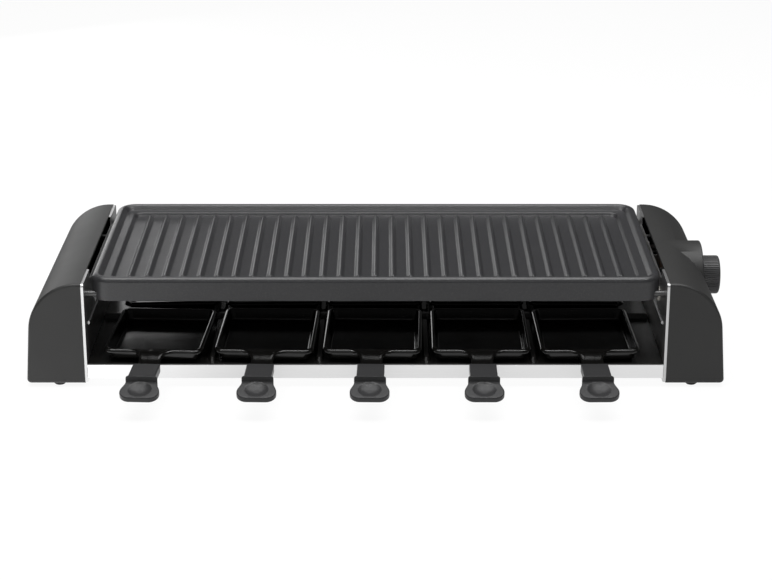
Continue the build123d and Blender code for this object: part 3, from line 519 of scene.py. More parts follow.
def use_group(tree, group, **values):
    """Place a group in a material, with its inputs set by name."""
    node = add_node(tree, "Group")
    node.node_tree = group
    return fill(node, **values)


def add_bump(tree, shader, height, depth):
    """Let a height pattern, as deep as depth, tilt the shader's normal."""
    bump = add_node(tree, "Bump", Distance=depth, Height=height)
    fill(shader, Normal=bump.outputs["Normal"])


def add_grain(tree, shader, size, depth):
    """Fine grain in the shader's normal."""
    grain = use_group(tree, grain_group, Grain_size=size)
    add_bump(tree, shader, grain.outputs["Height"], depth)


def add_gloss(tree, shader, roughness, spread, patch):
    """Uneven gloss in the shader's roughness."""
    gloss = use_group(tree, gloss_group, Roughness=roughness, Spread=spread, Patch_size=patch)
    fill(shader, Roughness=gloss.outputs["Roughness"])


def add_highlight_and_rubbing(tree, shader, tone, times, width, amount):
    """A tone that is some times as light along the edges: a painted highlight there, partly also
    real rubbing.
    """
    edge_tone = [min(1, part * times) for part in tone]
    edge_look = use_group(
        tree, edge_highlight_and_rubbing_group, Colour=(*tone, 1), Worn_colour=(*edge_tone, 1), Width=width, Amount=amount
    )
    fill(shader, Base_Color=edge_look.outputs["Colour"])


# %% [markdown]
# **Moulded plastic** for the panels, the knob and the grips: one recipe with its own darkness,
# grain and gloss. **Coated castings and pressings** get flecks in place of lighter edges.

# %% Plastics and coatings
def plastic(name, tone, roughness, grain_size, grain_depth, refraction=1.5):
    """Black moulded plastic with a satin skin, its edges painted slightly lighter as a highlight,
    partly also real rubbing.
    """
    material, tree, shader = start_finish(name)
    add_highlight_and_rubbing(tree, shader, tone, times=2, width=0.7 * MM, amount=0.35)
    add_gloss(tree, shader, roughness, spread=0.10, patch=40 * MM)
    add_grain(tree, shader, grain_size, grain_depth)
    fill(shader, IOR=refraction)
    return material


def coating(name, tone, fleck, share, roughness, grain_depth):
    """Sprayed and baked coating with mineral flecks."""
    material, tree, shader = start_finish(name)
    flecks = use_group(
        tree, fleck_group, Colour=(*tone, 1), Fleck_colour=(*fleck, 1), Fleck_size=0.45 * MM,
        Share=share
    )
    fill(shader, Base_Color=flecks.outputs["Colour"])
    add_gloss(tree, shader, roughness, spread=0.12, patch=25 * MM)
    add_grain(tree, shader, size=0.35 * MM, depth=grain_depth)
    return material


panel_plastic = plastic("panel plastic", (0.021, 0.021, 0.0205), 0.53, 0.45 * MM, 0.03 * MM)
knob_plastic = plastic("knob plastic", (0.046, 0.046, 0.047), 0.42, 0.35 * MM, 0.02 * MM)
grip_plastic = plastic("grip plastic", (0.033, 0.033, 0.034), 0.34, 0.35 * MM, 0.02 * MM, 1.34)
plate_coating = coating(
    "plate coating", (0.028, 0.028, 0.030), (0.045, 0.045, 0.047), 0.12, 0.32, 0.03 * MM
)
pan_coating = coating(
    "pan coating", (0.005, 0.0047, 0.0043), (0.008, 0.008, 0.008), 0.06, 0.16, 0.01 * MM
)
tray_enamel = coating(
    "tray enamel", (0.008, 0.0076, 0.007), (0.012, 0.012, 0.012), 0.03, 0.24, 0.01 * MM
)

# %% [markdown]
# **Metals, ceramics and rubber.** The base is brushed along the grill, and the lining plates are
# brushed from front to back. The heater's sheath is steel that heat has turned brown and blue.

# %% Metals and the rest
def brushed_steel(name, light, dark, roughness, lines):
    """Brushed sheet steel; lines is how often the pattern changes per metre along X, Y, Z."""
    material, tree, shader = start_finish(name)
    brushed = use_group(
        tree, brushed_group, Lines_per_metre=lines, Light=grey(light), Dark=grey(dark)
    )
    fill(shader, Base_Color=brushed.outputs["Colour"], Metallic=1)
    add_bump(tree, shader, brushed.outputs["Height"], depth=0.01 * MM)
    add_gloss(tree, shader, roughness, spread=0.08, patch=50 * MM)
    return material


def plain_solid(name, tone, roughness, grain_size, grain_depth):
    """Ceramic, rubber or cable skin: one tone with soft patches and a grain."""
    material, tree, shader = start_finish(name)
    # Edges painted a shade lighter: a painted highlight along them, partly also real rubbing.
    add_highlight_and_rubbing(tree, shader, tone, times=1.5, width=0.5 * MM, amount=0.3)
    add_gloss(tree, shader, roughness, spread=0.15, patch=15 * MM)
    add_grain(tree, shader, grain_size, grain_depth)
    return material


def tinted_sheath():
    """Heater sheath: oxidised steel, brown with bluish patches."""
    material, tree, shader = start_finish("heater sheath")
    noise = add_node(tree, "TexNoise", Scale=35, Detail=5, Vector=piece_place(tree))
    ramp = add_node(tree, "ValToRGB", Fac=noise.outputs["Fac"])
    brown, blue = ramp.color_ramp.elements
    brown.position = 0.35
    brown.color = (0.075, 0.055, 0.042, 1)
    blue.position = 0.68
    blue.color = (0.10, 0.105, 0.125, 1)
    fill(shader, Base_Color=ramp.outputs["Color"], Metallic=0.8)
    add_gloss(tree, shader, roughness=0.45, spread=0.2, patch=12 * MM)
    add_grain(tree, shader, size=0.3 * MM, depth=0.02 * MM)
    return material


base_steel = brushed_steel("base steel", 0.90, 0.84, 0.30, (6, 2600, 2600))
lining_steel = brushed_steel("lining steel", 0.68, 0.58, 0.36, (2600, 6, 2600))
stud_steel = brushed_steel("stud steel", 0.13, 0.10, 0.50, (900, 900, 900))
bracket_steel = brushed_steel("bracket steel", 0.60, 0.48, 0.40, (500, 40, 500))
sheath = tinted_sheath()
white_ceramic = plain_solid("bush ceramic", (0.74, 0.71, 0.65), 0.65, 0.3 * MM, 0.03 * MM)
fuse_ceramic = plain_solid("fuse ceramic", (0.80, 0.78, 0.72), 0.60, 0.3 * MM, 0.02 * MM)
phenolic = plain_solid("thermostat plastic", (0.10, 0.06, 0.04), 0.50, 0.4 * MM, 0.02 * MM)
nylon = plain_solid("terminal plastic", (0.72, 0.72, 0.69), 0.45, 0.5 * MM, 0.01 * MM)
lead_skin = plain_solid("lead insulation", (0.02, 0.02, 0.02), 0.55, 0.3 * MM, 0.01 * MM)
black_rubber = plain_solid("black rubber", (0.022, 0.022, 0.022), 0.70, 0.5 * MM, 0.03 * MM)
print("finishes:", len(bpy.data.materials))

# %% [markdown]
# ## The ribbed plate
#
# The plate is cast aluminium: a skirt, a rounded rim, a shallow ledge inside the rim, and a lower
# field with 29 ribs. Every one of those is a rectangle with round corners, so the whole casting
# is one stack of loops, from the middle of its underside round the skirt and over the rim to the
# field. Each row of the profile says how far in a loop lies and how high, and its corner radius
# follows from that. All edges are rounded in the profile itself, as castings have no sharp edge.

# %% Profile of the casting
PLATE_CORNER = 17 * MM
PLATE_ROUND = 4.8 * MM
SKIRT_WALL = 4 * MM
SKIRT_EDGE = 0.9 * MM
RIM_WIDTH = 6.5 * MM
RIM_INNER_ROUND = 1.0 * MM
RIM_SLOPE = 3.5 * MM
LEDGE_DEPTH = 4.6 * MM
LEDGE_WIDTH = 8 * MM
LEDGE_ROUND = 1.8 * MM
FIELD_STEP = 3.6 * MM
FIELD_STEP_RUN = 1.2 * MM
PLATE_WEB = 5 * MM
SOFT_EDGE = 0.8 * MM
RIM_STEEPNESS = LEDGE_DEPTH / RIM_SLOPE
RIM_BEND_SHARES = ((-1, 0), (-0.35, -0.12), (0.22, -0.5), (1, -RIM_STEEPNESS))
FOOT_BEND_SHARES = ((-0.2, 0.2 * RIM_STEEPNESS), (-0.04, 0.08), (0.2, 0))
FIELD_BEND_SHARES = ((-0.15, 0.9), (0.3, 0.2), (1, 0))

plate_length = plate_high.x - plate_low.x
plate_depth = plate_high.y - plate_low.y
plate_centre = (plate_low + plate_high) / 2
LEDGE_Z = plate_high.z - LEDGE_DEPTH
FIELD_Z = LEDGE_Z - FIELD_STEP
LEDGE_START = RIM_WIDTH + RIM_SLOPE
LEDGE_END = LEDGE_START + LEDGE_WIDTH
FIELD_START = LEDGE_END + FIELD_STEP_RUN


def bend(inset, height, size, shares):
    """Rows round a bend; each pair of shares of its size says how far in and how far up."""
    return [(inset + size * inward, height + size * up) for inward, up in shares]


def plate_profile():
    """Rows of (inset, height) from the underside, round the skirt and the rim, to the field."""
    top = plate_high.z
    low = plate_low.z
    web = FIELD_Z - PLATE_WEB
    rows = [(SKIRT_WALL + SOFT_EDGE, web), (SKIRT_WALL, web - SOFT_EDGE)]
    rows += [(SKIRT_WALL, low + SKIRT_EDGE / 2), (SKIRT_WALL - SKIRT_EDGE / 2, low)]
    for inward, rise in reversed(arc_steps(SKIRT_EDGE, 3)):
        rows.append((inward, low + SKIRT_EDGE - rise))
    for inward, rise in arc_steps(PLATE_ROUND, 6):
        rows.append((inward, top - PLATE_ROUND + rise))
    rows += bend(RIM_WIDTH, top, RIM_INNER_ROUND, RIM_BEND_SHARES)
    rows += bend(LEDGE_START, LEDGE_Z, RIM_INNER_ROUND, FOOT_BEND_SHARES)
    for inward, rise in reversed(arc_steps(LEDGE_ROUND, 5)):
        rows.append((LEDGE_END - inward, LEDGE_Z - LEDGE_ROUND + rise))
    return rows + bend(FIELD_START, FIELD_Z, SOFT_EDGE, FIELD_BEND_SHARES)


def plate_corner(inset):
    """Corner radius of a loop: it shrinks to the ledge and stays there until the field's step."""
    return PLATE_CORNER - min(inset, LEDGE_START) - max(0, inset - LEDGE_END)


print("plate profile:", len(plate_profile()), "loops")

# %% [markdown]
# A rib is the same idea on a small scale: slot-shaped loops that climb over a smooth hump, whose
# section is one wave of a cosine. The loops at the feet are holes in the field, so ribs and field
# are one closed skin.

# %% Ribs and the finished plate
RIB_COUNT = 29
RIB_PITCH = 15.7 * MM
RIB_WIDTH = 8 * MM
RIB_HEIGHT = 3.2 * MM
RIB_END_GAP = 0.7 * MM
RIB_ROWS = 9
RIB_CROWN_SHARE = 0.94
SLOT_END_SHARE = 0.98


def hump(bm, width, length, rows, steps, centre):
    """Slot-shaped loops from (inset, height) rows, closed on top; gives the loop at the foot."""
    rows = [(inset, height, (width / 2 - inset) * SLOT_END_SHARE) for inset, height in rows]
    loops = stack(bm, width, length, rows, steps, centre)
    cap(bm, loops[-1])
    return loops[0]


def rib_rows():
    """Rows of (inset, height) from the foot of a rib to its crown."""
    shares = [RIB_CROWN_SHARE * row / RIB_ROWS for row in range(RIB_ROWS + 1)]
    return [
        (share * RIB_WIDTH / 2, FIELD_Z + RIB_HEIGHT * (1 - math.cos(math.pi * share)) / 2)
        for share in shares
    ]


def build_plate():
    bm = bmesh.new()
    rows = [(inset, height, plate_corner(inset)) for inset, height in plate_profile()]
    loops = stack(bm, plate_length, plate_depth, rows, steps=12, centre=plate_centre)
    cap(bm, loops[0])
    length = plate_depth - 2 * (FIELD_START + RIB_END_GAP)
    first = plate_centre.x - RIB_PITCH * (RIB_COUNT - 1) / 2
    feet = []
    for number in range(RIB_COUNT):
        middle = (first + RIB_PITCH * number, plate_centre.y)
        feet.append(hump(bm, RIB_WIDTH, length, rib_rows(), steps=5, centre=middle))
    fill_between(bm, [loops[-1]] + feet)
    settle(bm)
    return bm


# %% [markdown]
# The skirt has a slot over each of the four studs that carry the plate. A boolean cut with a
# block that has a round top makes the slots, after the casting is closed.

# %% Slots over the studs
STUD_RADIUS = 2.5 * MM
STUD_HEAD_RADIUS = 4.2 * MM
STUD_GAP = 0.3 * MM
SLOT_REACH = 24 * MM
stud_low, stud_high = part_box("plate_rest_studs")


def slot_cutter(x, y, z):
    """A block with a round top, lying along X."""
    radius = STUD_RADIUS + STUD_GAP
    bm = rod(radius, SLOT_REACH, (x, y, z), steps=32)
    lower = [v for v in bm.verts if v.co.z < z - MERGE]
    bmesh.ops.scale(bm, vec=(1, 1, 0), verts=lower, space=Matrix.Translation((0, 0, -z)))
    bmesh.ops.translate(bm, vec=(0, 0, plate_low.z - z - radius), verts=lower)
    return bm


plate_bm = build_plate()
stud_middle_z = (stud_low.z + stud_high.z) / 2
stud_reach_y = (stud_high.y - stud_low.y) / 2 - STUD_HEAD_RADIUS
for side in (-1, 1):
    for end in (-1, 1):
        slot_x = plate_centre.x + side * plate_length / 2
        slot_y = plate_centre.y + end * stud_reach_y
        plate_bm = combine(plate_bm, slot_cutter(slot_x, slot_y, stud_middle_z), "DIFFERENCE")
plate = finish_piece("ribbed_plate", plate_bm, "grill_plate", plate_coating)
print("ribbed plate:", len(plate.data.polygons), "faces")

# %% [markdown]
# ## The pans
#
# A pan is one pressing in thin steel. Its rim and its neck are one outline, drawn as a few
# corners that vertex bevels round off: tight at the rim, wide where the rim flares into the neck.
# The outline is the foot of the rim's outer lip. Insets of that one face climb the lip, roll over
# into a bead and sink a little behind it, and the light on the bead is the S-shaped line at the
# front of each pan. The dish is a stack of loops again.

# %% Sizes of a pan
SHEET = 0.8 * MM
PAN_WIDTH = 90 * MM
PAN_DEPTH = 109 * MM
PAN_RIM = 3 * MM
PAN_CORNER = 9 * MM
PAN_DRAFT = math.tan(math.radians(12))
PAN_FLOOR_ROUND = 3 * MM
NECK_WIDTH = 20 * MM
NECK_LENGTH = 28 * MM
NECK_FLARE = 12 * MM
NECK_DROP = 5 * MM
NECK_FLAT = 3 * MM
NECK_SLOPE_RUN = 15 * MM
TANG_WIDTH = 12 * MM
TANG_LENGTH = 26 * MM
LIP_DEPTH = 3.5 * MM
LIP_LEAN = 0.2 * MM
LIP_ROUND = 2.8 * MM
VALLEY_RUN = 0.4 * MM
VALLEY_DROP = 0.15 * MM
MOUTH_ROUND = 0.35 * MM
CREST_WIDTH = 5.5 * MM
CREST_EDGE = 1.2 * MM
PAN_MOUTH = PAN_RIM + SHEET
NECK_CUTS = 9
LIP_LEFT_SHARE = 0.25
LIP_FADE_RUN = 20 * MM
VALLEY_SHARES = (0.25, 0.5, 0.75, 1)
pan_height = pan_high.z - pan_low.z
pan_front = -PAN_DEPTH / 2
neck_end = pan_front - NECK_LENGTH
SHEET_LEVEL = pan_height - VALLEY_DROP


# %% Outline, lip and dish
def pan_outline(bm):
    """The flat face of rim, neck and tang at the foot of the lip, its corners rounded."""
    half = PAN_WIDTH / 2
    neck = NECK_WIDTH / 2
    tang = TANG_WIDTH / 2
    side = [
        (half, -pan_front), (half, pan_front), (neck, pan_front), (neck, neck_end),
        (tang, neck_end), (tang, neck_end - TANG_LENGTH)
    ]
    points = mirrored_face(bm, side, pan_height - LIP_DEPTH)
    rim_corners = [p for p in points if near(abs(p.co.x), half)]
    flares = [p for p in points if near(abs(p.co.x), neck) and near(p.co.y, pan_front)]
    round_corners(bm, rim_corners, PAN_CORNER, steps=10)
    return round_corners(bm, flares, NECK_FLARE, steps=12)[0].link_faces[0]


def lip_profile():
    """Points (in, up) from the foot of the lip, over its bead, to the sheet behind it."""
    rows = [(0, 0), (LIP_LEAN, LIP_DEPTH - LIP_ROUND)]
    for inward, rise in arc_steps(LIP_ROUND, 8)[1:]:
        rows.append((LIP_LEAN + inward, LIP_DEPTH - LIP_ROUND + rise))
    top = LIP_LEAN + LIP_ROUND
    for share in VALLEY_SHARES:
        rows.append((top + VALLEY_RUN * share, LIP_DEPTH - VALLEY_DROP * smooth_step(share)))
    return rows


def raise_lip(bm, face):
    """Climb the lip by insets of the outline's face; gives back the loop inside it."""
    face.normal_update()
    if face.normal.z < 0:
        face.normal_flip()
    rows = lip_profile()
    for (start, low), (end, high) in zip(rows, rows[1:]):
        bmesh.ops.inset_region(
            bm, faces=[face], thickness=end - start, depth=high - low, use_even_offset=True,
            use_boundary=True
        )
    inner = list(face.edges)
    bmesh.ops.delete(bm, geom=[face], context="FACES_ONLY")
    return inner


def dish_rows():
    """Rows of (inset, height, corner) from the dish's mouth to its floor, on its upper side."""
    rows = []
    for inward, rise in reversed(arc_steps(MOUTH_ROUND, 3)):
        rows.append((PAN_MOUTH - inward, SHEET_LEVEL - MOUTH_ROUND + rise))
    round_top = SHEET + PAN_FLOOR_ROUND
    slope_in = PAN_DRAFT * (SHEET_LEVEL - MOUTH_ROUND - round_top)
    for inward, fall in arc_steps(PAN_FLOOR_ROUND, 5):
        rows.append((PAN_MOUTH + slope_in + inward, round_top - fall))
    return [(inset, z, PAN_CORNER - PAN_RIM - (inset - PAN_MOUTH) / 2) for inset, z in rows]


# %% [markdown]
# The neck drops between the rim and the grip. The flat neck is cut across at even steps, and
# each point is lowered along a smooth step curve, while the lip beside it grows shallower. A
# raised crest stiffens the neck from the rim to the grip.

# %% The whole pan
def neck_drop(y):
    """How far the sheet has dropped at y."""
    return NECK_DROP * smooth_step((pan_front - NECK_FLAT - y) / NECK_SLOPE_RUN)


def lip_left(y):
    """Which share of the lip's depth is left at y: all at the rim, none along the tang."""
    if y < neck_end - MERGE:
        return 0
    return 1 - (1 - LIP_LEFT_SHARE) * smooth_step((pan_front - y) / LIP_FADE_RUN)


def add_crest(bm):
    """A raised slot-shaped crest along the neck; gives back its foot loop."""
    start = pan_front + PAN_RIM / 2
    end = neck_end - CREST_WIDTH / 2
    rows = [
        (CREST_EDGE * share, SHEET_LEVEL + VALLEY_DROP * smooth_step(share))
        for share in (0, *VALLEY_SHARES)
    ]
    middle = (0, (start + end) / 2)
    return hump(bm, CREST_WIDTH, start - end, rows, steps=4, centre=middle)


def build_pan():
    bm = bmesh.new()
    inner = raise_lip(bm, pan_outline(bm))
    dish = stack(bm, PAN_WIDTH, PAN_DEPTH, dish_rows(), steps=8)
    cap(bm, dish[-1])
    fill_between(bm, [inner, dish[0], add_crest(bm)])
    for number in range(NECK_CUTS + 1):
        y = pan_front - NECK_FLAT - NECK_SLOPE_RUN * number / NECK_CUTS
        bmesh.ops.bisect_plane(
            bm, geom=list(bm.verts) + list(bm.edges) + list(bm.faces), dist=MERGE / 10,
            plane_co=(0, y, 0), plane_no=(0, 1, 0)
        )
    lip_end = pan_front + LIP_LEAN + LIP_ROUND + VALLEY_RUN
    for point in bm.verts:
        y = point.co.y
        if y < lip_end and point.co.z < SHEET_LEVEL:
            point.co.z = SHEET_LEVEL - (SHEET_LEVEL - point.co.z) * lip_left(y)
        point.co.z -= neck_drop(y)
    settle(bm)
    if sum(face.normal.z * face.calc_area() for face in bm.faces) < 0:
        bmesh.ops.reverse_faces(bm, faces=bm.faces)
    return bm


pan_bm = build_pan()
print("pan:", len(pan_bm.faces), "faces")

# %% [markdown]
# ## The grips
#
# A grip is a flat sleeve over the pan's tang, a thin collar at its end, and a wider thumb pad that
# starts a step lower and slopes down a little. The pad's outline is a few corners with vertex
# bevels. Its top face is cut open for the round hollow, whose loops follow the bowl of a ball.

# %% Sizes of a grip
SHAFT_WIDTH = 24 * MM
SHAFT_LENGTH = 29 * MM
SHAFT_THICKNESS = 8 * MM
SHAFT_ROUND = 1.2 * MM
COLLAR_WIDTH = 27.8 * MM
COLLAR_THICKNESS = 1.2 * MM
COLLAR_CORNER = 2.4 * MM
COLLAR_EDGE = 0.3 * MM
HEAD_LENGTH = 23.5 * MM
HEAD_WIDTH = 34.4 * MM
HEAD_THICKNESS = 5.4 * MM
HEAD_STEP = 4.8 * MM
HEAD_TILT = math.radians(15)
HEAD_STRAIGHT = 3 * MM
HEAD_FLARE_LENGTH = 8.5 * MM
HEAD_CORNER = 9 * MM
HEAD_ROUND = 1.2 * MM
DIMPLE_RADIUS = 10.4 * MM
DIMPLE_DEPTH = 3.0 * MM
DIMPLE_OUT = 11 * MM
DIMPLE_LIP = 0.4 * MM
BOWL_SHARES = (0.98, 0.9, 0.8, 0.68, 0.54, 0.38, 0.2)
BOWL_STEPS = 48
LEVEL_SHARE = 0.99
GRIP_LOW = pan_height - NECK_DROP - SHEET / 2 - SHAFT_THICKNESS / 2
GRIP_MIDDLE = GRIP_LOW + SHAFT_THICKNESS / 2
GRIP_HIGH = GRIP_LOW + SHAFT_THICKNESS
shaft_end = neck_end - SHAFT_LENGTH


# %% Thumb pad
def pad_outline(bm):
    """The pad's outline, drawn level from its step outwards, its corners rounded."""
    wide = -HEAD_STRAIGHT - HEAD_FLARE_LENGTH
    side = [
        (COLLAR_WIDTH / 2, 0), (COLLAR_WIDTH / 2, -HEAD_STRAIGHT), (HEAD_WIDTH / 2, wide),
        (HEAD_WIDTH / 2, -HEAD_LENGTH)
    ]
    mirrored_face(bm, side, 0)
    widening = (HEAD_WIDTH - COLLAR_WIDTH) / 2
    flare = HEAD_CORNER * math.tan(math.atan2(widening, HEAD_FLARE_LENGTH) / 2)
    bends = ((-HEAD_LENGTH, HEAD_CORNER, 10), (-HEAD_STRAIGHT, flare, 3), (wide, flare, 3))
    for place, offset, steps in bends:
        round_corners(bm, [p for p in bm.verts if near(p.co.y, place)], offset, steps)
    return largest(bm.faces)


def sink_hollow(bm):
    """Cut the round hollow into the pad's top: the bowl of a ball, its lip rounded."""
    face = largest(f for f in bm.faces if f.normal.z > LEVEL_SHARE)
    rim = list(face.edges)
    bmesh.ops.delete(bm, geom=[face], context="FACES_ONLY")
    centre = (0, -DIMPLE_OUT)
    ball = (DIMPLE_RADIUS ** 2 + DIMPLE_DEPTH ** 2) / (2 * DIMPLE_DEPTH)
    loops = [circle_loop(bm, DIMPLE_RADIUS + DIMPLE_LIP, 0, BOWL_STEPS, centre)]
    for share in BOWL_SHARES:
        radius = DIMPLE_RADIUS * share
        depth = DIMPLE_DEPTH - ball + math.sqrt(ball ** 2 - radius ** 2)
        loops.append(circle_loop(bm, radius, -depth, BOWL_STEPS, centre))
    bridge(bm, loops)
    cap(bm, loops[-1])
    fill_between(bm, [rim, loops[0]])


def thumb_pad():
    """The pad as a closed bmesh, tilted at the sleeve's end."""
    bm = bmesh.new()
    face = pad_outline(bm)
    if face.normal.z < 0:
        face.normal_flip()
    pull(bm, face, (0, 0, -HEAD_THICKNESS))
    rims = [
        e for e in bm.edges
        if near(e.verts[0].co.z, e.verts[1].co.z) and min(v.co.y for v in e.verts) < -MERGE
    ]
    round_edges(bm, rims, HEAD_ROUND, steps=4)
    sink_hollow(bm)
    tilt = Matrix.Translation((0, shaft_end, GRIP_HIGH - HEAD_STEP))
    bmesh.ops.transform(bm, matrix=tilt @ Matrix.Rotation(HEAD_TILT, 4, "X"), verts=bm.verts)
    return bm


# %% Sleeve, collar and the whole grip
def grip_sleeve():
    """The sleeve as a closed bmesh: a block with all its edges rounded but the outer end's."""
    size = (SHAFT_WIDTH, SHAFT_LENGTH, SHAFT_THICKNESS)
    bm = block(size, (0, (neck_end + shaft_end) / 2, GRIP_MIDDLE))
    along = [e for e in bm.edges if not near(e.verts[0].co.y, e.verts[1].co.y)]
    start = [e for e in bm.edges if all(v.co.y > neck_end - MERGE for v in e.verts)]
    round_edges(bm, along + start, SHAFT_ROUND, steps=4)
    return bm


def grip_collar():
    """The collar as a closed bmesh: a thin plate with rounded corners, stood on edge."""
    bm = bmesh.new()
    half = COLLAR_THICKNESS / 2
    edge = COLLAR_EDGE
    rows = [(edge, -half), (0, edge - half), (0, half - edge), (edge, half)]
    rows = [(inset, height, COLLAR_CORNER - inset) for inset, height in rows]
    loops = stack(bm, COLLAR_WIDTH, SHAFT_THICKNESS, rows, steps=6)
    cap(bm, loops[0])
    cap(bm, loops[-1])
    stand = Matrix.Translation((0, shaft_end, GRIP_MIDDLE))
    bmesh.ops.transform(bm, matrix=stand @ Matrix.Rotation(math.pi / 2, 4, "X"), verts=bm.verts)
    return bm


grip_bm = combine(combine(grip_sleeve(), grip_collar(), "UNION"), thumb_pad(), "UNION")
settle(grip_bm)
print("grip:", len(grip_bm.faces), "faces")

# %% [markdown]
# One pan and one grip are modelled, and each of the ten gets its own copy, moved to its place.
# The pans lie loose: each stands and turns a little differently, as in the photograph. The rear
# row is a mirror image of the front row.

# %% Lay out ten pans and ten grips
PAN_PITCH = 96 * MM
PAN_GAP = PAN_PITCH - PAN_WIDTH
PAN_ROW_SHIFT = 2.3 * MM
PAN_MOVE_SHARES = (-0.36, -0.02, 0.05, 0.22, 0.25)
PAN_TURN = math.radians(3.1)
PAN_TURN_SHARES = (-1.0, -0.58, -0.4, -0.1, 0.32)
PAN_SET_BACK = 2 * MM


def pan_place(row, number):
    """Where a pan's dish centre lies and which way it faces."""
    x = BODY_X - PAN_ROW_SHIFT + PAN_PITCH * (number - 2) + PAN_GAP * PAN_MOVE_SHARES[number]
    turn = PAN_TURN * PAN_TURN_SHARES[number]
    y = BODY_FRONT + PAN_SET_BACK + PAN_DEPTH / 2
    if row == "rear":
        y = BODY_BACK - PAN_SET_BACK - PAN_DEPTH / 2
        turn = math.pi - turn
    return Matrix.Translation((x, y, pan_low.z)) @ Matrix.Rotation(turn, 4, "Z")


def place_copy(mesh, place, name, node, material, sheet=0):
    """A moved copy of a mesh as a piece; sheet is how thick it becomes, downwards."""
    mesh = mesh.copy()
    mesh.transform(place)
    piece = place_piece(name, mesh, node, material)
    if sheet:
        thick = piece.modifiers.new("sheet", "SOLIDIFY")
        thick.thickness = sheet
        thick.offset = -1
    even_shading(piece)


pan_mesh = mesh_from(pan_bm, "pan")
grip_mesh = mesh_from(grip_bm, "grip")
for row in ("front", "rear"):
    for number in range(len(PAN_MOVE_SHARES)):
        ending = f"{row}_{number + 1}"
        place = pan_place(row, number)
        pan_name = f"pressed_pan_{ending}"
        place_copy(pan_mesh, place, pan_name, f"pan_{ending}", pan_coating, SHEET)
        place_copy(grip_mesh, place, f"moulded_grip_{ending}", f"grip_{ending}", grip_plastic)
print("pans and grips:", len(made) - 1)

# %% [markdown]
# ## The side panels
#
# Seen from the front a panel has a flat top, a large round shoulder and a side that leans out.
# That outline is four corners, two of them rounded, pulled out to the panel's depth. A bevel
# softens the front and back outlines. A smaller copy of the same form hollows it out, so that
# it is a real shell, open towards the grill.

# %% Sizes of a panel
PANEL_TOP_WIDTH = 45.3 * MM
PANEL_BOTTOM_WIDTH = 52.5 * MM
PANEL_WALL = 2.5 * MM
SHOULDER_RADIUS = 42 * MM
HEEL_RADIUS = 4 * MM
PANEL_EDGE_ROUND = 2.6 * MM
inner_x = right_low.x
panel_reach = right_high.x
half_depth = (BODY_BACK - BODY_FRONT) / 2
middle_y = (BODY_FRONT + BODY_BACK) / 2
LEAN = math.atan2(PANEL_BOTTOM_WIDTH - PANEL_TOP_WIDTH, PANEL_TOP - PANEL_LOW)


def panel_block(inset, start, reach):
    """The panel's outside form, or a smaller one inset from it, as a closed bmesh."""
    step = inset / math.cos(LEAN)
    lean = inset * math.tan(LEAN)
    high = PANEL_TOP - inset
    low = PANEL_LOW + inset
    high_x = inner_x + PANEL_TOP_WIDTH + lean - step
    low_x = inner_x + PANEL_BOTTOM_WIDTH - lean - step
    bm = bmesh.new()
    corners = [(start, low), (low_x, low), (high_x, high), (start, high)]
    points = [bm.verts.new((x, middle_y - reach, z)) for x, z in corners]
    bm.faces.new(points)
    round_corners(bm, [points[1]], HEEL_RADIUS - inset, steps=6)
    shoulder = [v for v in bm.verts if near(v.co.x, high_x) and near(v.co.z, high)]
    round_corners(bm, shoulder, SHOULDER_RADIUS - inset, steps=28)
    pull(bm, largest(bm.faces), (0, 2 * reach, 0))
    return bm


def round_outline(bm):
    """Round the front and back outlines, but not along the open side."""
    outline = [
        e for e in bm.edges
        if any(all(near(v.co.y, end) for v in e.verts) for end in (BODY_FRONT, BODY_BACK))
        and any(v.co.x > inner_x + MERGE for v in e.verts)
    ]
    round_edges(bm, outline, PANEL_EDGE_ROUND, steps=5)


def rod_along_x(radius, start, end, height, steps, edge=0):
    """A closed round rod along X in the panel's middle, its far edge rounded when asked."""
    bm = rod(radius, end - start, ((start + end) / 2, middle_y, height), steps)
    if edge:
        rim = [e for e in bm.edges if all(near(v.co.x, end) for v in e.verts)]
        round_edges(bm, rim, edge, steps=4)
    return bm


# %% [markdown]
# The right panel carries a round boss for the knob. Where its round wall breaks out of the
# shoulder there is no fillet, only a crisp slanting curve, so a plain union is right. The boss is
# hollow behind its face. The panel's side leans out past the boss, so the knob stands in a round
# recess there, a cup whose floor is the boss's face, and the spindle passes through a hole in it.

# %% Boss and recess
BOSS_RADIUS = 32 * MM
BOSS_DROP = 32.4 * MM
BOSS_SHORT = 1.8 * MM
BOSS_ROUND = 1.2 * MM
RECESS_GAP = 1.2 * MM
SPINDLE_HOLE = 3.8 * MM
KNOB_RADIUS = 18 * MM
OVERRUN = 5 * MM
BOSS_STEPS = 128
CUP_STEPS = 96
HOLE_STEPS = 32
boss_z = PANEL_TOP - BOSS_DROP
boss_face = inner_x + PANEL_TOP_WIDTH - BOSS_SHORT


def add_boss(bm):
    """The panel's block with the boss on it."""
    boss = rod_along_x(BOSS_RADIUS, inner_x + OVERRUN, boss_face, boss_z, BOSS_STEPS, BOSS_ROUND)
    return combine(bm, boss, "UNION")


def add_recess(bm):
    """The hollowed panel with the boss hollow, the cup round the knob and the spindle's hole."""
    inside = BOSS_RADIUS - PANEL_WALL
    back = boss_face - PANEL_WALL
    cavity = rod_along_x(inside, inner_x - OVERRUN, back, boss_z, CUP_STEPS)
    bm = combine(bm, cavity, "DIFFERENCE")
    recess = KNOB_RADIUS + RECESS_GAP
    cup = rod_along_x(recess + PANEL_WALL, back, panel_reach, boss_z, CUP_STEPS)
    cup = combine(cup, panel_block(0, inner_x, half_depth), "INTERSECT")
    bm = combine(bm, cup, "UNION")
    hollow = rod_along_x(recess, boss_face, panel_reach + OVERRUN, boss_z, CUP_STEPS)
    bm = combine(bm, hollow, "DIFFERENCE")
    hole = rod_along_x(SPINDLE_HOLE, inner_x, boss_face + OVERRUN, boss_z, HOLE_STEPS)
    return combine(bm, hole, "DIFFERENCE")


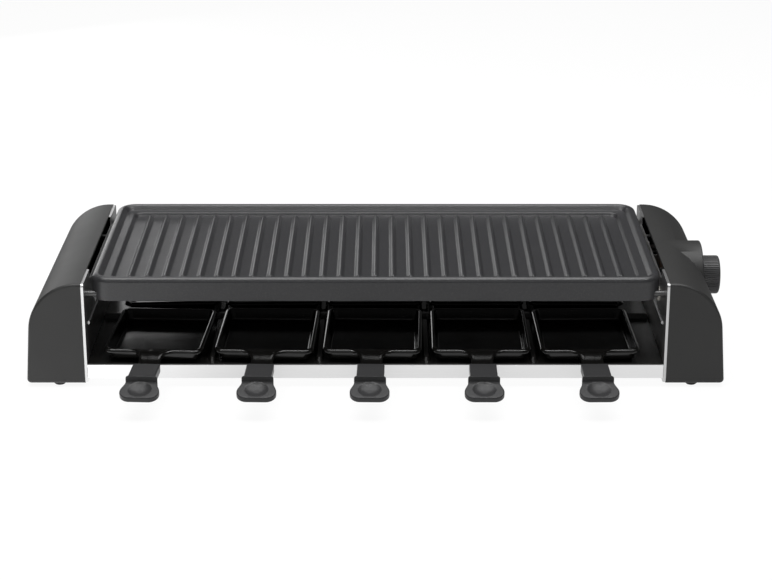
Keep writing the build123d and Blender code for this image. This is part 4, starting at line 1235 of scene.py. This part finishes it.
# %% Both panels
def build_panel(with_boss):
    bm = panel_block(0, inner_x, half_depth)
    round_outline(bm)
    if with_boss:
        bm = add_boss(bm)
    hollow = panel_block(PANEL_WALL, inner_x - OVERRUN, half_depth - PANEL_WALL)
    bm = combine(bm, hollow, "DIFFERENCE")
    if with_boss:
        bm = add_recess(bm)
    settle(bm)
    return bm


right_bm = build_panel(True)
right = finish_piece("moulded_panel_right", right_bm, "right_side_panel", panel_plastic)
left_bm = build_panel(False)
mirror_plane = Matrix.Translation((-BODY_X, 0, 0))
bmesh.ops.scale(left_bm, vec=(-1, 1, 1), verts=left_bm.verts, space=mirror_plane)
settle(left_bm)
left = finish_piece("moulded_panel_left", left_bm, "left_side_panel", panel_plastic)
print("panels:", len(right.data.polygons), "and", len(left.data.polygons), "faces")

# %% [markdown]
# ## The knob
#
# The knob is a stack of round loops along its axis. Fine grooves for the fingers run along its
# wall: every loop of the wall has four points to a groove, and one of each four is pulled in.

# %% Knob
FLUTE_COUNT = 60
FLUTE_DEPTH = 0.55 * MM
KNOB_ROUND = 2.0 * MM
KNOB_BACK_ROUND = 0.5 * MM
KNOB_DISH_RADIUS = 15 * MM
KNOB_DISH = 0.8 * MM
DISH_ROUND = 0.3 * MM
POINTER_WIDTH = 1.8 * MM
knob_length = knob_high.x - knob_low.x


def fluted_loop(bm, radius, depth, height):
    """A round loop whose points dip in by depth at every groove."""
    edges = circle_loop(bm, radius, height, 4 * FLUTE_COUNT)
    points = {v for e in edges for v in e.verts}
    points = sorted(points, key=lambda v: math.atan2(v.co.y, v.co.x))
    share = (radius - depth) / radius
    bmesh.ops.scale(bm, vec=(share, share, 1), verts=points[::4])
    return edges


def knob_rows():
    """Rows of (radius, groove depth, height) from the knob's back to the floor of its dish."""
    top = knob_length
    rows = [(KNOB_RADIUS - KNOB_BACK_ROUND, 0, 0), (KNOB_RADIUS, FLUTE_DEPTH, KNOB_BACK_ROUND)]
    for inward, rise in arc_steps(KNOB_ROUND, 6):
        rows.append((KNOB_RADIUS - inward, max(0, FLUTE_DEPTH - inward), top - KNOB_ROUND + rise))
    rows.append((KNOB_DISH_RADIUS + DISH_ROUND, 0, top))
    rows.append((KNOB_DISH_RADIUS, 0, top - DISH_ROUND))
    rows.append((KNOB_DISH_RADIUS - DISH_ROUND, 0, top - KNOB_DISH))
    return rows


def build_knob():
    bm = bmesh.new()
    loops = [fluted_loop(bm, *row) for row in knob_rows()]
    bridge(bm, loops)
    cap(bm, loops[0])
    cap(bm, loops[-1])
    length = KNOB_RADIUS - KNOB_DISH_RADIUS / 2 + OVERRUN
    middle = (0, KNOB_DISH_RADIUS / 2 + length / 2, knob_length)
    return combine(bm, block((POINTER_WIDTH, length, 4 * KNOB_DISH), middle), "DIFFERENCE")


knob_bm = build_knob()
knob_centre = (knob_low + knob_high) / 2
stand = Matrix.Translation((knob_low.x, knob_centre.y, knob_centre.z))
face_out = Matrix(((0, 0, 1, 0), (1, 0, 0, 0), (0, 1, 0, 0), (0, 0, 0, 1)))
bmesh.ops.transform(knob_bm, matrix=stand @ face_out, verts=knob_bm.verts)
settle(knob_bm)
knob = finish_piece("fluted_knob", knob_bm, "control_knob", knob_plastic)
print("knob:", len(knob.data.polygons), "faces")

# %% [markdown]
# ## Sheet metal and small pieces
#
# The shapes of the base, the tray, the lining plates and the fittings are already right in the
# frame. A copy of each is merged from loose triangles into flat faces, and most get a small bevel,
# because a sheared or pressed edge is never perfectly sharp and shows as a thin line of light.
# Each row of the table names a node, its piece, its finish and the width of that bevel.

# %% Softened copies
FLAT = math.radians(0.6)
COPIES = [
    ("base_plate", "steel_base", base_steel, 0.2 * MM),
    ("pan_tray", "enamelled_tray", tray_enamel, 0.35 * MM),
]
for side in ("left", "right"):
    COPIES.append((f"{side}_inner_plate", f"lining_plate_{side}", lining_steel, 0.2 * MM))
    for end in ("front", "rear"):
        COPIES.append((f"foot_{end}_{side}", f"rubber_foot_{end}_{side}", black_rubber, 0))
COPIES += [
    ("plate_rest_studs", "rest_studs", stud_steel, 0.2 * MM),
    ("heating_element", "tube_heater", sheath, 0),
    ("heater_bushes", "ceramic_bushes", white_ceramic, 0.2 * MM),
    ("heater_clips", "bent_clips", bracket_steel, 0.15 * MM),
    ("thermostat_bracket", "hat_bracket", bracket_steel, 0.15 * MM),
    ("thermostat", "thermostat_body", phenolic, 0.2 * MM),
    ("thermostat_spindle", "flat_spindle", stud_steel, 0.1 * MM),
    ("terminal_block", "three_pole_block", nylon, 0.2 * MM),
    ("thermal_fuse", "fuse_in_holder", fuse_ceramic, 0.2 * MM),
    ("internal_leads", "lead_wires", lead_skin, 0),
    ("cord_gland", "rubber_gland", black_rubber, 0.2 * MM),
    ("panel_screws", "lining_screws", stud_steel, 0.15 * MM),
    ("base_screws", "channel_screws", stud_steel, 0.15 * MM),
]
for node, name, material, edge in COPIES:
    bm = bmesh.new()
    bm.from_mesh(frame["nodes"][node].data)
    bmesh.ops.remove_doubles(bm, verts=bm.verts, dist=MERGE)
    bmesh.ops.dissolve_limit(bm, angle_limit=FLAT, verts=bm.verts, edges=bm.edges)
    finish_piece(name, bm, node, material, edge)
print("pieces:", len(made))

# %% [markdown]
# ## Stage, light and camera
#
# The photograph was taken on white. The floor is a large pale sheet. What the camera sees of it,
# directly or in a reflection, is mostly a white glow of its own, so that it reads as white but
# keeps a trace of the object's shadow. In reflections it is brighter at the left front, where
# the light comes from, and falls off behind the grill.

# %% Floor
FLOOR_SIZE = 8.0
GLOW_SHARE = 0.9
CAMERA_GLOW = 1.03
GLOSSY_FRONT = 0.86
GLOSSY_BACK = 0.15
GLOSSY_LEFT = 0.9
FRONT_EDGE = (0.30, -0.15)
LEFT_EDGE = (-0.12, -0.34)
floor_bm = bmesh.new()
bmesh.ops.create_grid(floor_bm, x_segments=1, y_segments=1, size=FLOOR_SIZE / 2)
floor_mesh = bpy.data.meshes.new("floor")
floor_bm.to_mesh(floor_mesh)
floor_bm.free()
floor = add_object("floor", floor_mesh)


def soft_ramp(tree, value, start, end):
    """A soft step from 0 at start to 1 at end."""
    node = add_node(tree, "MapRange", Value=value, From_Min=start, From_Max=end)
    node.interpolation_type = "SMOOTHSTEP"
    return node.outputs["Result"]


def floor_finish():
    """Pale matt sheet, mostly a plain glow for camera rays and reflections."""
    material, tree, shader = start_finish("pale floor")
    fill(shader, Base_Color=grey(0.9), Roughness=0.9)
    rays = add_node(tree, "LightPath").outputs
    split = add_node(tree, "SeparateXYZ", Vector=piece_place(tree)).outputs
    front = soft_ramp(tree, split["Y"], *FRONT_EDGE)
    left = soft_ramp(tree, split["X"], *LEFT_EDGE)
    mirrored = calc(tree, "MULTIPLY", left, GLOSSY_LEFT)
    mirrored = calc(tree, "ADD", mirrored, GLOSSY_FRONT - GLOSSY_BACK)
    mirrored = calc(tree, "MULTIPLY", mirrored, front)
    mirrored = calc(tree, "ADD", mirrored, GLOSSY_BACK)
    strength = add_node(tree, "Mix", Factor=rays["Is Camera Ray"], A=mirrored, B=CAMERA_GLOW)
    glow = add_node(tree, "Emission", Color=grey(1), Strength=strength.outputs["Result"])
    seen = calc(tree, "MAXIMUM", rays["Is Camera Ray"], rays["Is Glossy Ray"])
    glow_part = calc(tree, "MULTIPLY", seen, GLOW_SHARE)
    mix = add_node(tree, "MixShader")
    for socket, value in zip(mix.inputs, (glow_part, shader.outputs[0], glow.outputs[0])):
        feed(socket, value)
    fill(tree.nodes["Material Output"], Surface=mix.outputs[0])
    return material


floor_mesh.materials.append(floor_finish())

# %% [markdown]
# The light is a studio's. The main lamp is a wide soft box overhead. A thin bright strip hangs
# in front of it: it draws the light lines on rounded edges, and its light ends a little way inside
# the pans, as in the photograph. A third soft box stands low behind the grill on the left and
# draws the left side of each rib, and a faint one low in front rounds off the lower edges. The
# room is dim.

# %% Room
ROOM_STRENGTH = 0.07
world = bpy.data.worlds.new("studio")
bpy.context.scene.world = world
world.use_nodes = True
room = world.node_tree
camera_ray = add_node(room, "LightPath").outputs["Is Camera Ray"]
strength = calc(room, "MAXIMUM", camera_ray, ROOM_STRENGTH)
fill(room.nodes["Background"], Color=grey(1), Strength=strength)

# %% Lamps
AIM = Vector((0, 0, 60 * MM))


def soft_box(name, turn, height, distance, width, depth, power):
    """A rectangular lamp that faces the grill.

    Turn is degrees round from the front towards the right, height is degrees above level, the
    other sizes are metres, and power is watts.
    """
    lamp = bpy.data.lights.new(name, "AREA")
    lamp.shape = "RECTANGLE"
    lamp.size = width
    lamp.size_y = depth
    lamp.energy = power
    stand = add_object(name, lamp)
    level = math.cos(math.radians(height))
    way = Vector((
        math.sin(math.radians(turn)) * level, -math.cos(math.radians(turn)) * level,
        math.sin(math.radians(height))
    ))
    stand.location = AIM + way * distance
    stand.rotation_euler = (-way).to_track_quat("-Z", "Y").to_euler()
    stand.visible_camera = False


soft_box("main", 0, 102, 1.6, 2.0, 1.10, 24)
soft_box("front strip", 0, 76, 1.6, 2.2, 0.15, 18)
soft_box("back left", -149, 9.5, 1.38, 0.80, 0.45, 2.1)
soft_box("front low", -14, 34, 1.8, 1.7, 0.50, 3)

# %% [markdown]
# The camera stands where the photograph was taken from: it looks 20 degrees down from about
# 1.8 m away. The vanishing point of the grill's depth lines and the length of its front say so.

# %% Camera
FOCAL_PIXELS = 2030
PHOTO_WIDTH = 772
SENSOR_WIDTH = 36
CAMERA_SIDE = 9.4 * MM
CAMERA_AWAY = 1798.4 * MM
CAMERA_HEIGHT = 704.5 * MM
DOWN = math.radians(20)
camera_data = bpy.data.cameras.new("camera")
camera_data.sensor_width = SENSOR_WIDTH
camera_data.lens = FOCAL_PIXELS * SENSOR_WIDTH / PHOTO_WIDTH
camera_data.clip_start = 10 * MM
camera = add_object("camera", camera_data)
camera.location = (BODY_X + CAMERA_SIDE, -CAMERA_AWAY, CAMERA_HEIGHT)
camera.rotation_euler = (math.pi / 2 - DOWN, 0, 0)
bpy.context.scene.camera = camera
bpy.context.scene.view_settings.view_transform = "Standard"
